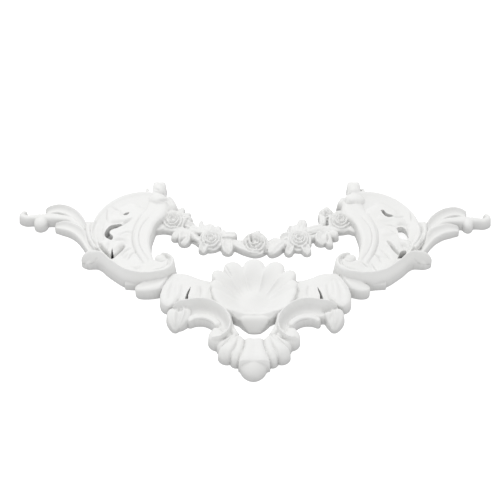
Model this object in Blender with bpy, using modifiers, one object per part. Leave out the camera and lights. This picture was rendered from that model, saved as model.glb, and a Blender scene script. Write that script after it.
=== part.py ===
"""Carved corner ornament of shell, scrolls, leaves and roses, cast in one piece with a flat back.

It lies on its back with the carving up. X runs from tip to tip, -Y points to the corner that the two
arms meet at, and +Z points away from the ceiling. Every number in a table is in millimetres.
"""

import math

import bpy
import numpy as np

MM = 0.001

# Driving dimensions, in millimetres
CASTING = "corner_ornament"
SKIRT = 2.6  # how far each form runs below the back before the back is cut flat
DRAFT = 0.07  # lean of the side walls, which lets the casting leave its mould
VOXEL = 1.6  # the forms are fused on a grid of this size
SMOOTHING = 3
TRIANGLES = 8900  # of the finished solid

# How finely a form is sampled
STEP = 4.5  # between sections along a form
ACROSS = 9  # points across a form
ROUND_SECTIONS = 4  # sections in a rounded end
TIP_TURN = 0.06  # radians round an end from its very tip to its first section
CURVE_SAMPLES = 160  # of a cross section
KNOB_SIDES = 20
ROSE_SIDES = 28
LOBE_SIDES = 7
FRONT_SPOKES = 8
THINNEST = 0.4  # half width that no form goes under
NEARBY = 0.2  # how far on each side of a place the direction of a form is measured

# Cross sections: from the left edge (-1) to the right edge (1) of a form, as shares of its height
PAD = ((-1, 0.55), (-0.85, 0.84), (-0.5, 0.97), (0, 1), (0.5, 0.97), (0.85, 0.84), (1, 0.55))
FLAT = ((-1, 0.8), (-0.88, 0.95), (-0.6, 0.99), (0, 1), (0.6, 0.99), (0.88, 0.95), (1, 0.8))
HOLLOW = (
    (-1, 0.74), (-0.86, 0.97), (-0.7, 1), (-0.35, 0.86), (0, 0.8), (0.35, 0.86), (0.7, 1), (0.86, 0.97),
    (1, 0.74),
)
RIDGE = ((-1, 0.55), (-0.8, 0.76), (-0.4, 0.84), (0, 1), (0.4, 0.84), (0.8, 0.76), (1, 0.55))
DISH = ((-1, 0.82), (-0.94, 0.97), (-0.84, 1), (-0.5, 0.93), (0, 0.85), (0.5, 0.79), (1, 0.74))
COVE = (
    (-1, 0.86), (-0.93, 0.98), (-0.85, 1), (-0.7, 0.93), (-0.5, 0.68), (-0.2, 0.53), (0.3, 0.46),
    (0.8, 0.46), (1, 0.4),
)
BROW = (
    (-1, 0.3), (-0.9, 0.5), (-0.72, 0.75), (-0.5, 0.92), (-0.28, 1), (-0.1, 0.97), (0.2, 0.82),
    (0.6, 0.65), (1, 0.5),
)
FLARE = (
    (-1, 0.5), (-0.8, 0.54), (-0.5, 0.62), (-0.15, 0.79), (0.15, 0.96), (0.32, 1), (0.6, 0.9), (1, 0.6),
)
TRAY = (
    (-1, 0.8), (-0.92, 0.96), (-0.78, 1), (-0.5, 0.88), (-0.15, 0.76), (0.35, 0.7), (0.8, 0.7), (1, 0.56),
)
BAR = ((-1, 0.72), (-0.7, 0.92), (-0.25, 1), (0.25, 1), (0.7, 0.92), (1, 0.72))


def curve_through(rows, at):
    """Values, at these distances along it, of the smooth curve through rows that start with x and y."""
    rows = np.array(rows, float)
    chords = np.linalg.norm(np.diff(rows[:, :2], axis=0), axis=1)
    knots = np.concatenate([[0.0], np.cumsum(chords)])
    if len(rows) > 2:
        slopes = np.gradient(rows, knots, axis=0)
    else:
        slopes = np.repeat(np.diff(rows, axis=0) / chords, 2, axis=0)
    at = np.clip(at, 0.0, knots[-1])
    span = np.clip(np.searchsorted(knots, at, side="right") - 1, 0, len(rows) - 2)
    width = (knots[span + 1] - knots[span])[:, None]
    u = (at - knots[span])[:, None] / width
    return (
        (2 * u**3 - 3 * u**2 + 1) * rows[span]
        + (u**3 - 2 * u**2 + u) * width * slopes[span]
        + (3 * u**2 - 2 * u**3) * rows[span + 1]
        + (u**3 - u**2) * width * slopes[span + 1]
    )


def turned(profile):
    """The same cross section the other way round."""
    return tuple((-t, share) for t, share in reversed(profile))


def length_of(rows):
    points = np.array(rows, float)[:, :2]
    return float(np.linalg.norm(np.diff(points, axis=0), axis=1).sum())


def section_heights(profile, across):
    """The profile's height at each of these places across the form."""
    dense = curve_through(profile, np.linspace(0, length_of(profile), CURVE_SAMPLES))
    return np.interp(across, dense[:, 0], dense[:, 1])


def sections_along(length, start, end):
    """Distances along a form, and how full its width is there, with rounded ends of these lengths."""
    turn = np.linspace(TIP_TURN, 0.5 * math.pi, ROUND_SECTIONS)
    middle = length - start - end
    count = max(2, int(middle / STEP) + 1)
    places = [start + middle * i / count for i in range(count + 1)]
    fullness = [1.0] * len(places)
    if start:
        places = list(start * (1 - np.cos(turn[:-1]))) + places
        fullness = list(np.sin(turn[:-1])) + fullness
    if end:
        places = places + list(length - end * (1 - np.cos(turn[:-1][::-1])))
        fullness = fullness + list(np.sin(turn[:-1][::-1]))
    return np.array(places), np.array(fullness)


# Where the right half strays from the left's mirror image: distance from the middle, shift right and up
DRIFT = (
    (85, 0, 0), (115, 4, 0), (205, 4, 0), (226, 7, -1), (240, 7.5, -4), (270, 8, -6), (290, 4, -6),
    (320, 2.5, -6),
)


def placed(points, side):
    """Points of a half on this side. Side -1 mirrors them, 1 shifts them by the drift and 0 leaves them."""
    points = np.array(points, float)
    if side > 0:
        reach, right, up = np.array(DRIFT, float).T
        shift = [np.interp(points[:, 0], reach, right), np.interp(points[:, 0], reach, up)]
        points[:, :2] += np.stack(shift, axis=1)
    if side < 0:
        points[:, 0] *= -1
    return points


class Forms:
    """Collects the closed forms of the casting. Its side is -1 for the left half and 1 for the right."""

    def __init__(self):
        self.points = []
        self.faces = []
        self.side = 0

    def add(self, points, faces):
        start = len(self.points)
        self.points.extend(map(tuple, placed(points, self.side) * MM))
        for face in faces:
            self.faces.append(tuple(start + i for i in (face if self.side >= 0 else face[::-1])))

    def ribbon(self, rows, *profiles, start=None, end=None, edge=0.55):
        """A form along the rows (x, y, half width, height), shaped by its profiles from first to last.

        start and end are the lengths of its rounded ends, and edge the share of the height at their tips.
        """
        profiles = profiles or (PAD,)
        length = length_of(rows)
        start = min(rows[0][2], length / 3) if start is None else start
        end = min(rows[-1][2], length / 3) if end is None else end
        places, fullness = sections_along(length, start, end)
        spine = curve_through(rows, places)
        ahead = curve_through(rows, places + NEARBY)[:, :2] - curve_through(rows, places - NEARBY)[:, :2]
        ahead /= np.linalg.norm(ahead, axis=1)[:, None]
        left = np.stack([-ahead[:, 1], ahead[:, 0]], axis=1)
        across = -np.cos(np.linspace(0, math.pi, ACROSS))
        shapes = np.array([section_heights(p, across) for p in profiles])
        points, ring = [], ACROSS + 2
        for i, (x, y, half, height) in enumerate(spine):
            blend = places[i] / length * (len(profiles) - 1)
            low = min(int(blend), max(len(profiles) - 2, 0))
            shape = shapes[low]
            if len(profiles) > 1:
                shape = shape * (1 - blend + low) + shapes[low + 1] * (blend - low)
            width = max(half, THINNEST) * fullness[i]
            tops = height * shape * (edge + (1 - edge) * fullness[i])
            for t, top in zip(across, tops):
                points.append((x - left[i, 0] * width * t, y - left[i, 1] * width * t, top))
            foot = width + DRAFT * height
            points.append((x - left[i, 0] * foot, y - left[i, 1] * foot, -SKIRT))
            points.append((x + left[i, 0] * foot, y + left[i, 1] * foot, -SKIRT))
        faces = [tuple(range(ring))[::-1], tuple(range(len(points) - ring, len(points)))]
        for i in range(len(spine) - 1):
            for j in range(ring):
                a, b = i * ring + j, i * ring + (j + 1) % ring
                faces.append((a, b, b + ring, a + ring))
        self.add(points, faces)

    def polar(self, centre, turn, rings):
        """A form of rings about a centre, from the inside out, each a list of (radius, angle, height)."""
        x, y = centre
        sides = len(rings[0])
        points = [(x, y, rings[0][0][2])]
        for ring in rings:
            for radius, angle, height in ring:
                a = angle + math.radians(turn)
                points.append((x + radius * math.cos(a), y + radius * math.sin(a), height))
        for radius, angle, height in rings[-1]:
            a = angle + math.radians(turn)
            foot = radius + DRAFT * height
            points.append((x + foot * math.cos(a), y + foot * math.sin(a), -SKIRT))
        faces = [(0, 1 + j, 1 + (j + 1) % sides) for j in range(sides)]
        for i in range(len(rings)):
            for j in range(sides):
                a, b = 1 + i * sides + j, 1 + i * sides + (j + 1) % sides
                faces.append((a, a + sides, b + sides, b))
        faces.append(tuple(range(len(points) - sides, len(points)))[::-1])
        self.add(points, faces)

    def dome(self, x, y, long, short, height, turn=0.0, edge=0.5):
        """A knob: an oval of these half lengths, whose top rolls over to its edge."""
        rings = []
        for i in range(1, ROUND_SECTIONS + 2):
            share = i / (ROUND_SECTIONS + 1)
            radius = math.sin(share * math.pi / 2)
            z = height * (edge + (1 - edge) * math.cos(share * math.pi / 2))
            ring = []
            for j in range(KNOB_SIDES):
                angle = 2 * math.pi * j / KNOB_SIDES
                u, v = long * math.cos(angle), short * math.sin(angle)
                ring.append((radius * math.hypot(u, v), math.atan2(v, u), z))
            rings.append(ring)
        self.polar((x, y), turn, rings)

    def rose(self, x, y, radius, height, turn=0.0, tilt=4.5):
        """A rose seen from above: a bud and rings of petals, each lower than the one inside it."""
        rings = []
        for share, level, petals, wave in ROSE_RINGS:
            ring = []
            for j in range(ROSE_SIDES):
                a = 2 * math.pi * j / ROSE_SIDES
                turns = petals * (a + PETAL_TWIST * share) / (2 * math.pi)
                lobe = abs(math.cos(math.pi * turns))
                lean = turns % 1.0 - 0.5 if petals else 0.0
                rise = tilt * share * math.sin(a + math.radians(turn))
                bulge = 1 + wave * (lobe - MEAN_LOBE)
                ring.append((radius * share * bulge, a, height * (level + PETAL_LEAN * lean) + rise))
            rings.append(ring)
        self.polar((x, y), turn, rings)


PETAL_TWIST = 2.1  # how far the petals turn, in radians, from the bud to the rim
PETAL_LEAN = 0.05  # rise from one edge of a petal to the other, as a share of the rose's height
MEAN_LOBE = 0.64  # height of a lobe's wave where the ring keeps its own radius

# Rings of a rose from its bud out: share of the radius, share of the height, petals, how far they bulge
ROSE_RINGS = (
    (0.07, 0.9, 0, 0),
    (0.15, 1.0, 0, 0),
    (0.2, 0.98, 3, 0.08),
    (0.24, 0.78, 3, 0.08),
    (0.37, 0.92, 3, 0.12),
    (0.43, 0.9, 3, 0.12),
    (0.46, 0.64, 4, 0.12),
    (0.64, 0.8, 4, 0.14),
    (0.7, 0.76, 4, 0.14),
    (0.73, 0.5, 5, 0.14),
    (0.92, 0.62, 5, 0.18),
    (1.0, 0.54, 5, 0.18),
)

# Lobes of the shell on each side of its middle: edge in degrees from +Y, radius there, bulge, groove
SHELL_HUB = (0.0, -24.0)
SHELL_LOBES = (
    (13.8, 57, 14.5, 1.2), (37.6, 59.5, 14.5, 1.2), (54, 59.5, 12, 1.0), (67, 57.5, 4, 0.4),
    (79, 52, 1, 0.2),
    (91, 46, 0.6, 0.12), (103, 39.5, 0.3, 0.0),
)
SHELL_NOTCH = 56  # radius of the edge under the middle lobe
SHELL_FRONT = ((103, 39), (115, 31), (131, 29), (149, 26), (180, 21))  # degrees and radius
SHELL_RIM = ((0, 27.5), (50, 27), (100, 21.5), (120, 19), (180, 18.5))  # degrees and height
SHELL_FLOOR = 14.5
SHELL_BOSS = (-9.0, 13.0, 4.0)  # its y, spread and height
SHELL_BRINK = (-36.5, 18.8, 0.8)  # y and height where the front starts to fall, and its slope
SHELL_FLUTE = 2.6  # depth of the grooves between lobes at the rim
SHELL_TURN = 110  # degrees where the front begins
FLUTE_START = 0.45  # share of the radius where the grooves begin
FLUTE_RISE = 0.35  # how far the middle of a lobe rises, as a share of the groove's depth
FLUTE_SHARPNESS = 2
FLOOR_SHARE = 0.3  # share of the radius that is floor
RIM_WIDTH = 0.65  # share of the radius over which the rim rises
EDGE_START = 0.95  # share of the radius where the edge starts to roll over
EDGE_DROP = 1.6
NO_ANGLE = 1e-4  # degrees
LOBE_REACH = 0.997  # how near to a groove the last spoke of a lobe stands
SHELL_SHARES = (0.08, 0.16, 0.27, 0.4, 0.55, 0.7, 0.82, 0.92, 0.975, 1.0)


def shell_spokes():
    """Spokes from the shell's middle to its foot: degrees, edge radius, place across its lobe, groove."""
    spokes = []
    inner = 0.0
    edges = np.array([(0, SHELL_NOTCH), *[lobe[:2] for lobe in SHELL_LOBES]], float)
    for k, (outer, _, bulge, groove) in enumerate(SHELL_LOBES):
        low = -outer if k == 0 else inner
        for i in range(LOBE_SIDES):
            u = -math.cos(math.pi * (i + 0.5) / LOBE_SIDES) * LOBE_REACH
            degrees = low + (outer - low) * (u + 1) / 2
            if degrees < -NO_ANGLE:
                continue
            radius = float(np.interp(abs(degrees), edges[:, 0], edges[:, 1])) + bulge * math.sqrt(1 - u * u)
            spokes.append((degrees, radius, u, groove))
        inner = outer
    turn, radius = np.array(SHELL_FRONT, float).T
    for degrees in np.linspace(SHELL_TURN, 180, FRONT_SPOKES):
        spokes.append((float(degrees), float(np.interp(degrees, turn, radius)), 0.0, 0.0))
    return spokes


def shell_level(x, y, degrees, share):
    """Height of the shell's bowl: a floor with a boss, a rim round it, and a front that falls away."""
    centre, spread, boss = SHELL_BOSS
    level = SHELL_FLOOR + boss * math.exp(-(x * x + (y - centre) ** 2) / spread**2)
    rise = min(1.0, max(0.0, (share - FLOOR_SHARE) / RIM_WIDTH))
    turn, rim = np.array(SHELL_RIM, float).T
    level += (float(np.interp(abs(degrees), turn, rim)) - level) * rise * rise * (3 - 2 * rise)
    level -= EDGE_DROP * max(0.0, (share - EDGE_START) / (1 - EDGE_START)) ** 2
    brink, top, slope = SHELL_BRINK
    return min(level, top - slope * (brink - y)) if y < brink else level


def add_shell(forms):
    """The scallop shell in the middle, with a half-round foot below its front."""
    half = shell_spokes()
    spokes = half + [(-d, r, u, groove) for d, r, u, groove in half[::-1] if NO_ANGLE < d < 180 - NO_ANGLE]
    rings = []
    for share in SHELL_SHARES:
        ring = []
        for degrees, radius, u, groove in spokes:
            angle = math.radians(90 - degrees)
            x = SHELL_HUB[0] + radius * share * math.cos(angle)
            y = SHELL_HUB[1] + radius * share * math.sin(angle)
            depth = SHELL_FLUTE * groove * max(0.0, (share - FLUTE_START) / (1 - FLUTE_START))
            flute = depth * (FLUTE_RISE - abs(u) ** FLUTE_SHARPNESS)
            ring.append((radius * share, angle, shell_level(x, y, degrees, share) + flute))
        rings.append(ring[::-1])
    forms.polar(SHELL_HUB, 0.0, rings)
    forms.ribbon(
        [(0.5, -34, 18, 14.5), (0.5, -45.5, 18, 14.5), (0.5, -51, 14, 9.5), (0.5, -58, 6.5, 2)],
        FLAT, start=1, end=1,
    )


def add_palmette(forms):
    """The fan of leaves at the corner, with a ball under its middle tongue."""
    forms.ribbon(
        [
            (0, -79, 11.8, 19), (0, -92, 12.5, 21), (0, -104, 15.5, 23), (0, -112, 17.8, 23),
            (0, -119, 18, 21.5),
        ],
        FLAT, start=1, end=2, edge=0.8,
    )
    forms.dome(-1, -108.5, 17.5, 24, 22, edge=0.3)
    for forms.side in (-1, 1):
        forms.ribbon(
            [(14.5, -76, 4.5, 19), (17.5, -91, 6, 19.5), (21.5, -103, 6, 18), (24, -112, 4.5, 13.5)],
            PAD,
        )
        forms.ribbon([(15, -74, 4, 19), (24, -85, 7, 20.5), (33, -96, 10, 19.5), (39, -105.5, 9.5, 15)], PAD)
        forms.ribbon([(22, -72, 4, 18), (31, -81, 5, 18.5), (44, -90.5, 8, 16.5)], PAD)
        forms.ribbon([(33, -34, 4, 17), (30.5, -48, 4, 18), (27, -62, 4.5, 18.5), (20, -75, 5, 19)], PAD)
    forms.side = 0


def add_lower_scrolls(forms):
    """The pair of C scrolls that hold the shell, each with a drooping leaf and a rolled end."""
    for forms.side in (-1, 1):
        forms.ribbon(
            [
                (103, -28, 6.5, 20.5), (94, -30, 8.5, 24.5), (82, -31, 9.5, 27), (66, -30, 10.5, 28),
                (51, -36, 10, 28),
                (40, -47, 9, 27), (36, -58, 8, 26), (38, -67, 8, 25), (46, -73.5, 8, 23.5),
                (54, -75.5, 5, 21.5),
            ],
            turned(COVE), start=6, end=3,
        )
        forms.ribbon(
            [(95, -27, 13.5, 21.5), (98, -38, 11, 18.5), (98, -48, 7.5, 14), (97, -56.5, 2.5, 7)],
            RIDGE, end=2,
        )
        if forms.side < 0:
            forms.ribbon([(88, -25, 9, 22), (87, -36, 9.5, 19.5), (90, -46, 6, 15), (94, -53, 2, 8)], RIDGE)
        forms.ribbon([(47, -58, 6, 16), (45, -68, 7, 16.5)], PAD)
        forms.ribbon([(34, -62, 5, 19), (33, -70, 6, 18.5), (31, -78, 6, 18)], PAD)
        forms.ribbon(
            [
                (43, -56, 4.5, 14.5), (50, -46.5, 4.5, 15), (62, -40.5, 4.5, 15), (74, -41, 4.5, 14.5),
                (82, -47, 2.5, 13),
            ],
            FLAT,
        )
        forms.dome(45.5, -73.3, 11.5, 10.5, 18.5, turn=70, edge=0.7)
    forms.side = 0


ARM_TIP = {-1: 151, 1: 143.5}  # how far out the last leaf of each arm reaches


def add_arm_leaves(forms):
    """The arms between the shell and the big scrolls: a broad band that breaks into leaves at its front."""
    for forms.side in (-1, 1):
        tip = ARM_TIP[forms.side]
        forms.ribbon(
            [(44, 0, 18, 16), (62, 1, 19.5, 17), (80, 4, 22, 18), (97, 11, 22, 18.5), (111, 17, 15, 19)],
            FLAT, start=2, end=3,
        )
        forms.ribbon(
            [(106, 25, 8, 19.5), (124, 15, 11.5, 17.5), (tip - 12, 10, 9, 16), (tip, 7.5, 5, 14)],
            FLAT, edge=0.85,
        )
        forms.ribbon(
            [(104, 22, 9, 19), (104, 8, 11.5, 19), (106, -8, 12.5, 18.5), (108.5, -25, 7, 16.5)],
            FLAT, edge=0.85,
        )
        forms.ribbon([(89, 14, 5, 18.5), (89.5, 0, 5, 18.6), (91, -20, 5, 17.5)], PAD)
        forms.ribbon([(74, 14, 6.5, 18), (75, -2, 6.6, 18.5), (76, -19, 6, 17.5)], PAD)
        forms.ribbon([(60, 12, 6.5, 17), (60.5, -2, 6, 17.6), (61, -18, 5, 17)], PAD)
        forms.ribbon([(147, 21.5, 5, 10), (165.5, 23, 5, 10)], FLAT, start=1, end=2)
    forms.side = 0


def add_big_scrolls(forms):
    """The large C scroll under each wing: a flared end, a high outer wall and a volute round an eye."""
    for forms.side in (-1, 1):
        forms.ribbon(
            [
                (225, 61, 7, 18), (217, 62.5, 8.5, 23), (208.5, 63, 8, 27.5), (201, 61.5, 7, 30),
                (192, 55, 6.2, 30),
                (184, 46, 6, 30), (174, 37, 6, 30), (164.3, 29.3, 6, 30), (154.6, 25.3, 6, 30),
                (140, 22.5, 6, 30),
                (128, 23.5, 5.5, 30), (115.5, 28, 5, 29.5),
            ],
            FLARE, BROW, BROW, BROW, BROW, start=11, end=1,
        )
        forms.ribbon(
            [
                (122, 24, 5, 29.5), (112, 27.5, 4, 29), (106.3, 35, 3, 28), (104.3, 43.5, 2.9, 27.5),
                (106.6, 52, 2.9, 27), (112.5, 57.5, 2.9, 26.5), (121, 59.5, 2.9, 25.5),
            ],
            BROW, BAR, BAR, BAR, start=1, end=2,
        )
        forms.dome(120, 54, 7.8, 5.6, 25, edge=0.9)
        forms.ribbon(
            [
                (152, 38, 10, 17), (140, 38, 12, 19), (128, 40, 13, 21.5), (114, 42, 12, 23.5),
                (105, 42, 10, 24),
            ],
            FLAT, end=0.5,
        )
    forms.side = 0


def add_wings(forms):
    """Each wing is a round cartouche: a dished rim, a pierced leafy field and a smooth inner band."""
    for forms.side in (-1, 1):
        forms.ribbon(
            [
                (118, 157, 9, 25), (135, 163, 15, 24), (154, 165, 16.5, 23), (174, 158.5, 16.5, 22),
                (191, 145, 14.5, 21),
                (202, 128, 12, 20), (206, 110, 10, 19), (203, 92, 8, 18.5), (196, 75, 6, 18.5),
                (187, 60, 5, 19),
            ],
            DISH,
        )
        forms.ribbon(
            [
                (150, 158, 14, 20), (166, 140, 24, 18.5), (172, 120, 28, 18), (171, 98, 28, 18),
                (166, 76, 26, 17.5),
                (159, 56, 24, 17.5), (150, 42, 18, 17), (136, 34, 13, 17),
            ],
            FLAT,
        )
        forms.ribbon(
            [
                (129, 172, 13, 24), (130, 160, 15, 22.3), (131, 148, 16, 20.8), (138.5, 134, 13.5, 20),
                (143, 122, 12, 20),
                (145.8, 110, 12, 20.3), (147.5, 98, 11.5, 20.5), (147, 84, 10.8, 20.5), (143.5, 69, 9.7, 20),
                (138.5, 56, 8.5, 19.5), (132.5, 42, 6.5, 19),
            ],
            PAD, FLAT, FLAT, FLAT, start=3, end=3,
        )
        forms.ribbon(
            [
                (146, 134, 1.4, 20), (152.5, 122, 1.8, 20.5), (156, 106, 1.8, 21), (155, 84, 1.8, 20.5),
                (148, 65, 1.6, 19.5), (140, 52, 1.4, 19),
            ],
            PAD,
        )
        forms.ribbon(
            [(212, 128, 3, 16), (214.5, 110, 3, 18), (210, 92, 2.8, 19.5), (202, 76, 2.6, 20)],
            PAD,
        )
        forms.ribbon(
            [(222, 132, 2.8, 15), (220.5, 112, 3, 17), (215, 92, 2.8, 18.5), (206, 76, 2.6, 19.5)],
            PAD,
        )
        forms.ribbon(
            [(216, 131, 9.5, 15.5), (216.5, 112, 7, 17), (211, 92, 5.5, 18.3), (203, 77, 4, 18.8)],
            FLAT, start=4,
        )
        for leaf in WING_LEAVES:
            forms.ribbon(leaf, PAD)
    forms.side = 0


# Leaves of a wing's field, as rows
WING_LEAVES = (
    [(158, 150, 9, 19), (174, 147, 10, 19.3), (190, 136, 7, 18.8)],
    [(156, 133, 8, 19.5), (170, 131, 8, 19.5), (184, 128, 5, 18.8)],
    [(158, 106, 11, 19.6), (172, 105, 10, 19.6), (186, 103, 5, 18.6)],
    [(164, 88, 9, 19.2), (177, 83, 8.5, 19.4), (184, 70, 4, 18)],
    [(186, 92, 7, 18.8), (196, 84, 8, 19.2), (192, 72, 4, 18)],
    [(150, 68, 11, 18.8), (163, 64, 9, 18.8), (173, 56, 6, 18)],
    [(142, 46, 5, 17), (152, 44, 5, 17.5), (160, 42, 4, 17)],
)

# Holes and pockets: side (0 for both), heights from and to, outline. One from below the back goes through.
CUTS = (
    (0, 4, 60, ((80, 6.5), (81, -1), (82.6, -8), (83.6, -15), (86, -15), (85.3, -8), (83, 0))),
    (0, 9, 60, ((94, -16), (94, -19), (96.4, -19), (96.4, -16))),
    (-1, 8, 60, ((176, 139), (173, 137.5), (169, 139.5), (167.5, 143), (171, 142.5))),
    (
        -1, 2, 60,
        (
            (175, 121.5), (181, 113.5), (187, 110.5), (190.5, 107), (190.5, 103), (187.5, 100),
            (185.5, 96.5), (187, 91), (194, 95), (197.5, 101), (196.5, 109), (192, 116.5), (186, 120.5),
            (178.5, 122.5),
        ),
    ),
    (-1, 2, 60, ((184, 56.5), (186.8, 61), (186, 68), (185, 76), (183.5, 68), (181.3, 62), (182, 58))),
    (1, 8, 60, ((171, 147), (174, 147.5), (178, 142), (187, 136.5), (181, 134), (176, 137), (173, 142))),
    (
        1, -20, 60,
        (
            (189, 113), (195, 116), (200, 113.5), (203.5, 105), (204, 97), (200, 92.5), (194, 92.5),
            (191, 98), (191, 105),
        ),
    ),
    (1, -20, 9, ((189, 96), (204, 96), (206, 112), (200, 123), (190, 121))),
    (1, 2, 60, ((186, 57), (188, 64), (193.5, 72), (198.5, 73.5), (198.5, 68), (193, 60))),
)


BALL_PLACE = {-1: (286.5, 133), 1: (282, 137)}  # of the ball on each tail


def add_tails(forms):
    """The leafy tail beyond each wing, which ends in a small hook."""
    for forms.side in (-1, 1):
        forms.ribbon(
            [
                (207, 72, 4, 15), (219, 102, 5, 16), (228, 123, 5.5, 17.5), (239, 140, 6.5, 18.5),
                (252, 151, 7, 18.5), (266, 155, 6.5, 18), (275, 153, 5.5, 17.3), (282, 149.5, 3.5, 16),
            ],
            TRAY, end=4,
        )
        forms.ribbon(
            [
                (206, 66, 4, 15), (215, 82, 5, 15), (222.5, 97, 6, 15.5), (231, 110, 7, 16),
                (242, 119, 7, 16.5), (255, 124, 6.5, 16), (267, 125, 3, 13),
            ],
            TRAY, end=3,
        )
        forms.ribbon(
            [
                (222, 104, 3.5, 14), (233, 122, 4, 14.5), (247, 135, 5, 15), (264, 140, 6.5, 15),
                (282, 141, 7, 15), (294, 139.5, 5.5, 14.5),
            ],
            PAD,
        )
        forms.dome(*BALL_PLACE[forms.side], 9.2, 10, 15.5, edge=0.5)
        forms.ribbon(
            [
                (286, 142, 6.5, 14.5), (298, 140.5, 5.2, 14.5), (307, 140, 5, 14.5), (313, 144, 4.5, 15),
                (310.5, 148.5, 3.8, 15.5), (306, 147.5, 2.6, 15),
            ],
            PAD, start=2,
        )
    forms.side = 0


# Roses of the swag (x, y, radius, height, turn), its stem (x, y, half width, height) and its leaves
ROSES = (
    (-109, 134, 16, 18, 20), (-57, 99.5, 15.5, 17, 60), (2, 92, 17, 17.5, 10), (60, 99, 15.5, 17, 100),
    (117, 134, 16, 18, 40), (98, 147, 10.5, 15, 0), (-89, 137, 7, 12.5, 0),
)
GARLAND_STEM = (
    (-136, 125, 5, 8), (-112, 125, 7, 9), (-90, 116, 7, 9), (-74, 104, 6, 8.5), (-58, 98, 9, 9),
    (-34, 96, 8, 9), (0, 92, 10, 9), (30, 95, 8, 9), (58, 99, 9, 9), (78, 110, 6, 9),
    (92, 120, 7, 9), (114, 125, 8, 9), (138, 126, 5, 8),
)
GARLAND_LEAVES = (
    ([(-118, 128, 6, 11), (-126, 124, 5.5, 10), (-133, 120, 3, 9)], PAD),
    ([(-122, 174, 9, 24), (-114, 162, 9, 21), (-108, 150, 8, 17)], PAD),
    ([(126, 172, 8, 23), (118, 158, 8, 19)], PAD),
    ([(-92, 116, 7, 11), (-92, 105, 8.5, 12), (-92.5, 93, 6.5, 8)], HOLLOW),
    ([(-95, 118, 5, 11), (-103, 111, 6, 11), (-108, 104, 4.5, 8)], PAD),
    ([(-84, 114, 3.5, 11), (-77, 105, 3.8, 10), (-70, 95, 3.5, 9)], PAD),
    ([(-92, 130, 6, 11), (-85, 128, 6, 11), (-78, 122, 4.5, 9)], HOLLOW),
    ([(-88, 124, 6, 10.5), (-76, 120.5, 7, 10.5), (-64, 116, 6, 10.5)], PAD),
    ([(-103, 146, 8, 12), (-99, 156, 5.5, 11), (-96, 164, 3, 10)], PAD),
    ([(-96, 144, 5, 12), (-90, 149, 4.5, 11), (-86, 153, 2.5, 10)], PAD),
    ([(-60, 108, 9, 11), (-60, 121, 9, 11), (-58, 133, 7.5, 10)], PAD),
    ([(-66, 116, 5, 11.5), (-70, 128, 4, 11.5), (-71, 139, 2.4, 10)], RIDGE),
    ([(-52, 110, 6, 11), (-49, 120, 5.5, 10.5), (-46, 128, 4, 10)], PAD),
    ([(-46, 106, 5, 10), (-42, 114, 4.5, 10), (-39, 121, 3, 9)], PAD),
    ([(-63, 96, 6, 11), (-66.5, 88, 6.5, 10.5), (-66.5, 79.5, 4.5, 8)], HOLLOW),
    ([(-34, 102, 6, 11), (-35, 89, 8, 11.5), (-33, 77, 6, 8.5)], HOLLOW),
    ([(-43, 108, 5.5, 12), (-32, 109, 6, 12), (-22, 108, 5.5, 12)], FLAT),
    ([(-30, 96, 4, 11), (-22, 90, 4, 11), (-15, 84, 3.5, 10)], PAD),
    ([(-8, 104, 6, 11), (2, 112, 6, 10.5), (8, 120, 3, 9.5)], RIDGE),
    ([(41, 97, 4, 12), (33, 91, 8, 13), (26, 83, 8, 12), (20.5, 75, 4, 9)], RIDGE),
    ([(-25, 98, 4, 11), (-17, 90, 6.5, 12.5), (-5, 83, 6.5, 12), (9, 80, 5, 10)], RIDGE),
    ([(24, 100, 7, 11.5), (34, 94, 6.5, 11), (40, 86, 4, 9.5)], PAD),
    ([(50, 106, 5, 11.5), (42, 107, 6.5, 11.5), (36, 102, 4.5, 10)], HOLLOW),
    ([(50, 92, 5, 10.5), (47, 85, 6, 10), (45, 75.5, 4.5, 8)], HOLLOW),
    ([(65, 92, 5, 10.5), (69, 85, 6.5, 10), (70.5, 76, 4.5, 8)], HOLLOW),
    ([(54, 106, 8, 11), (52, 118, 8, 11.5), (54, 129, 5.5, 10)], HOLLOW),
    ([(59, 112, 13, 11), (61, 121, 12, 11.5), (64, 131, 8.5, 11)], PAD),
    ([(64, 122, 8, 12.5), (65, 132, 7, 13), (65, 139.5, 5, 12)], PAD),
    ([(20, 101, 8, 12), (31, 95, 9.5, 12.5), (41, 93, 7, 11.5)], RIDGE),
    ([(68, 117, 7, 11), (81, 122, 7, 11.5), (95, 126, 7, 11)], PAD),
    ([(96, 116, 5, 11), (89, 106, 8, 12), (91, 94, 7, 9)], HOLLOW),
    ([(98, 116, 4, 12), (99, 103, 4.8, 11.5), (101.5, 90, 5, 8.5)], PAD),
    ([(100, 116, 5, 12), (107, 112, 5.5, 13), (107.5, 104, 5, 11)], PAD),
    ([(92, 128, 5, 11), (93, 138, 5, 12), (91.5, 150, 3.5, 11)], PAD),
    ([(98, 148, 6, 11), (99, 158, 5.5, 11), (100, 166, 3.5, 10)], PAD),
    ([(126, 128, 6, 10.5), (132, 122, 4.5, 10), (138, 118, 3, 9)], RIDGE),
)

HEAD_PLACE = {-1: 129.5, 1: 133.5}  # where the bud above each wing stands


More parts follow.
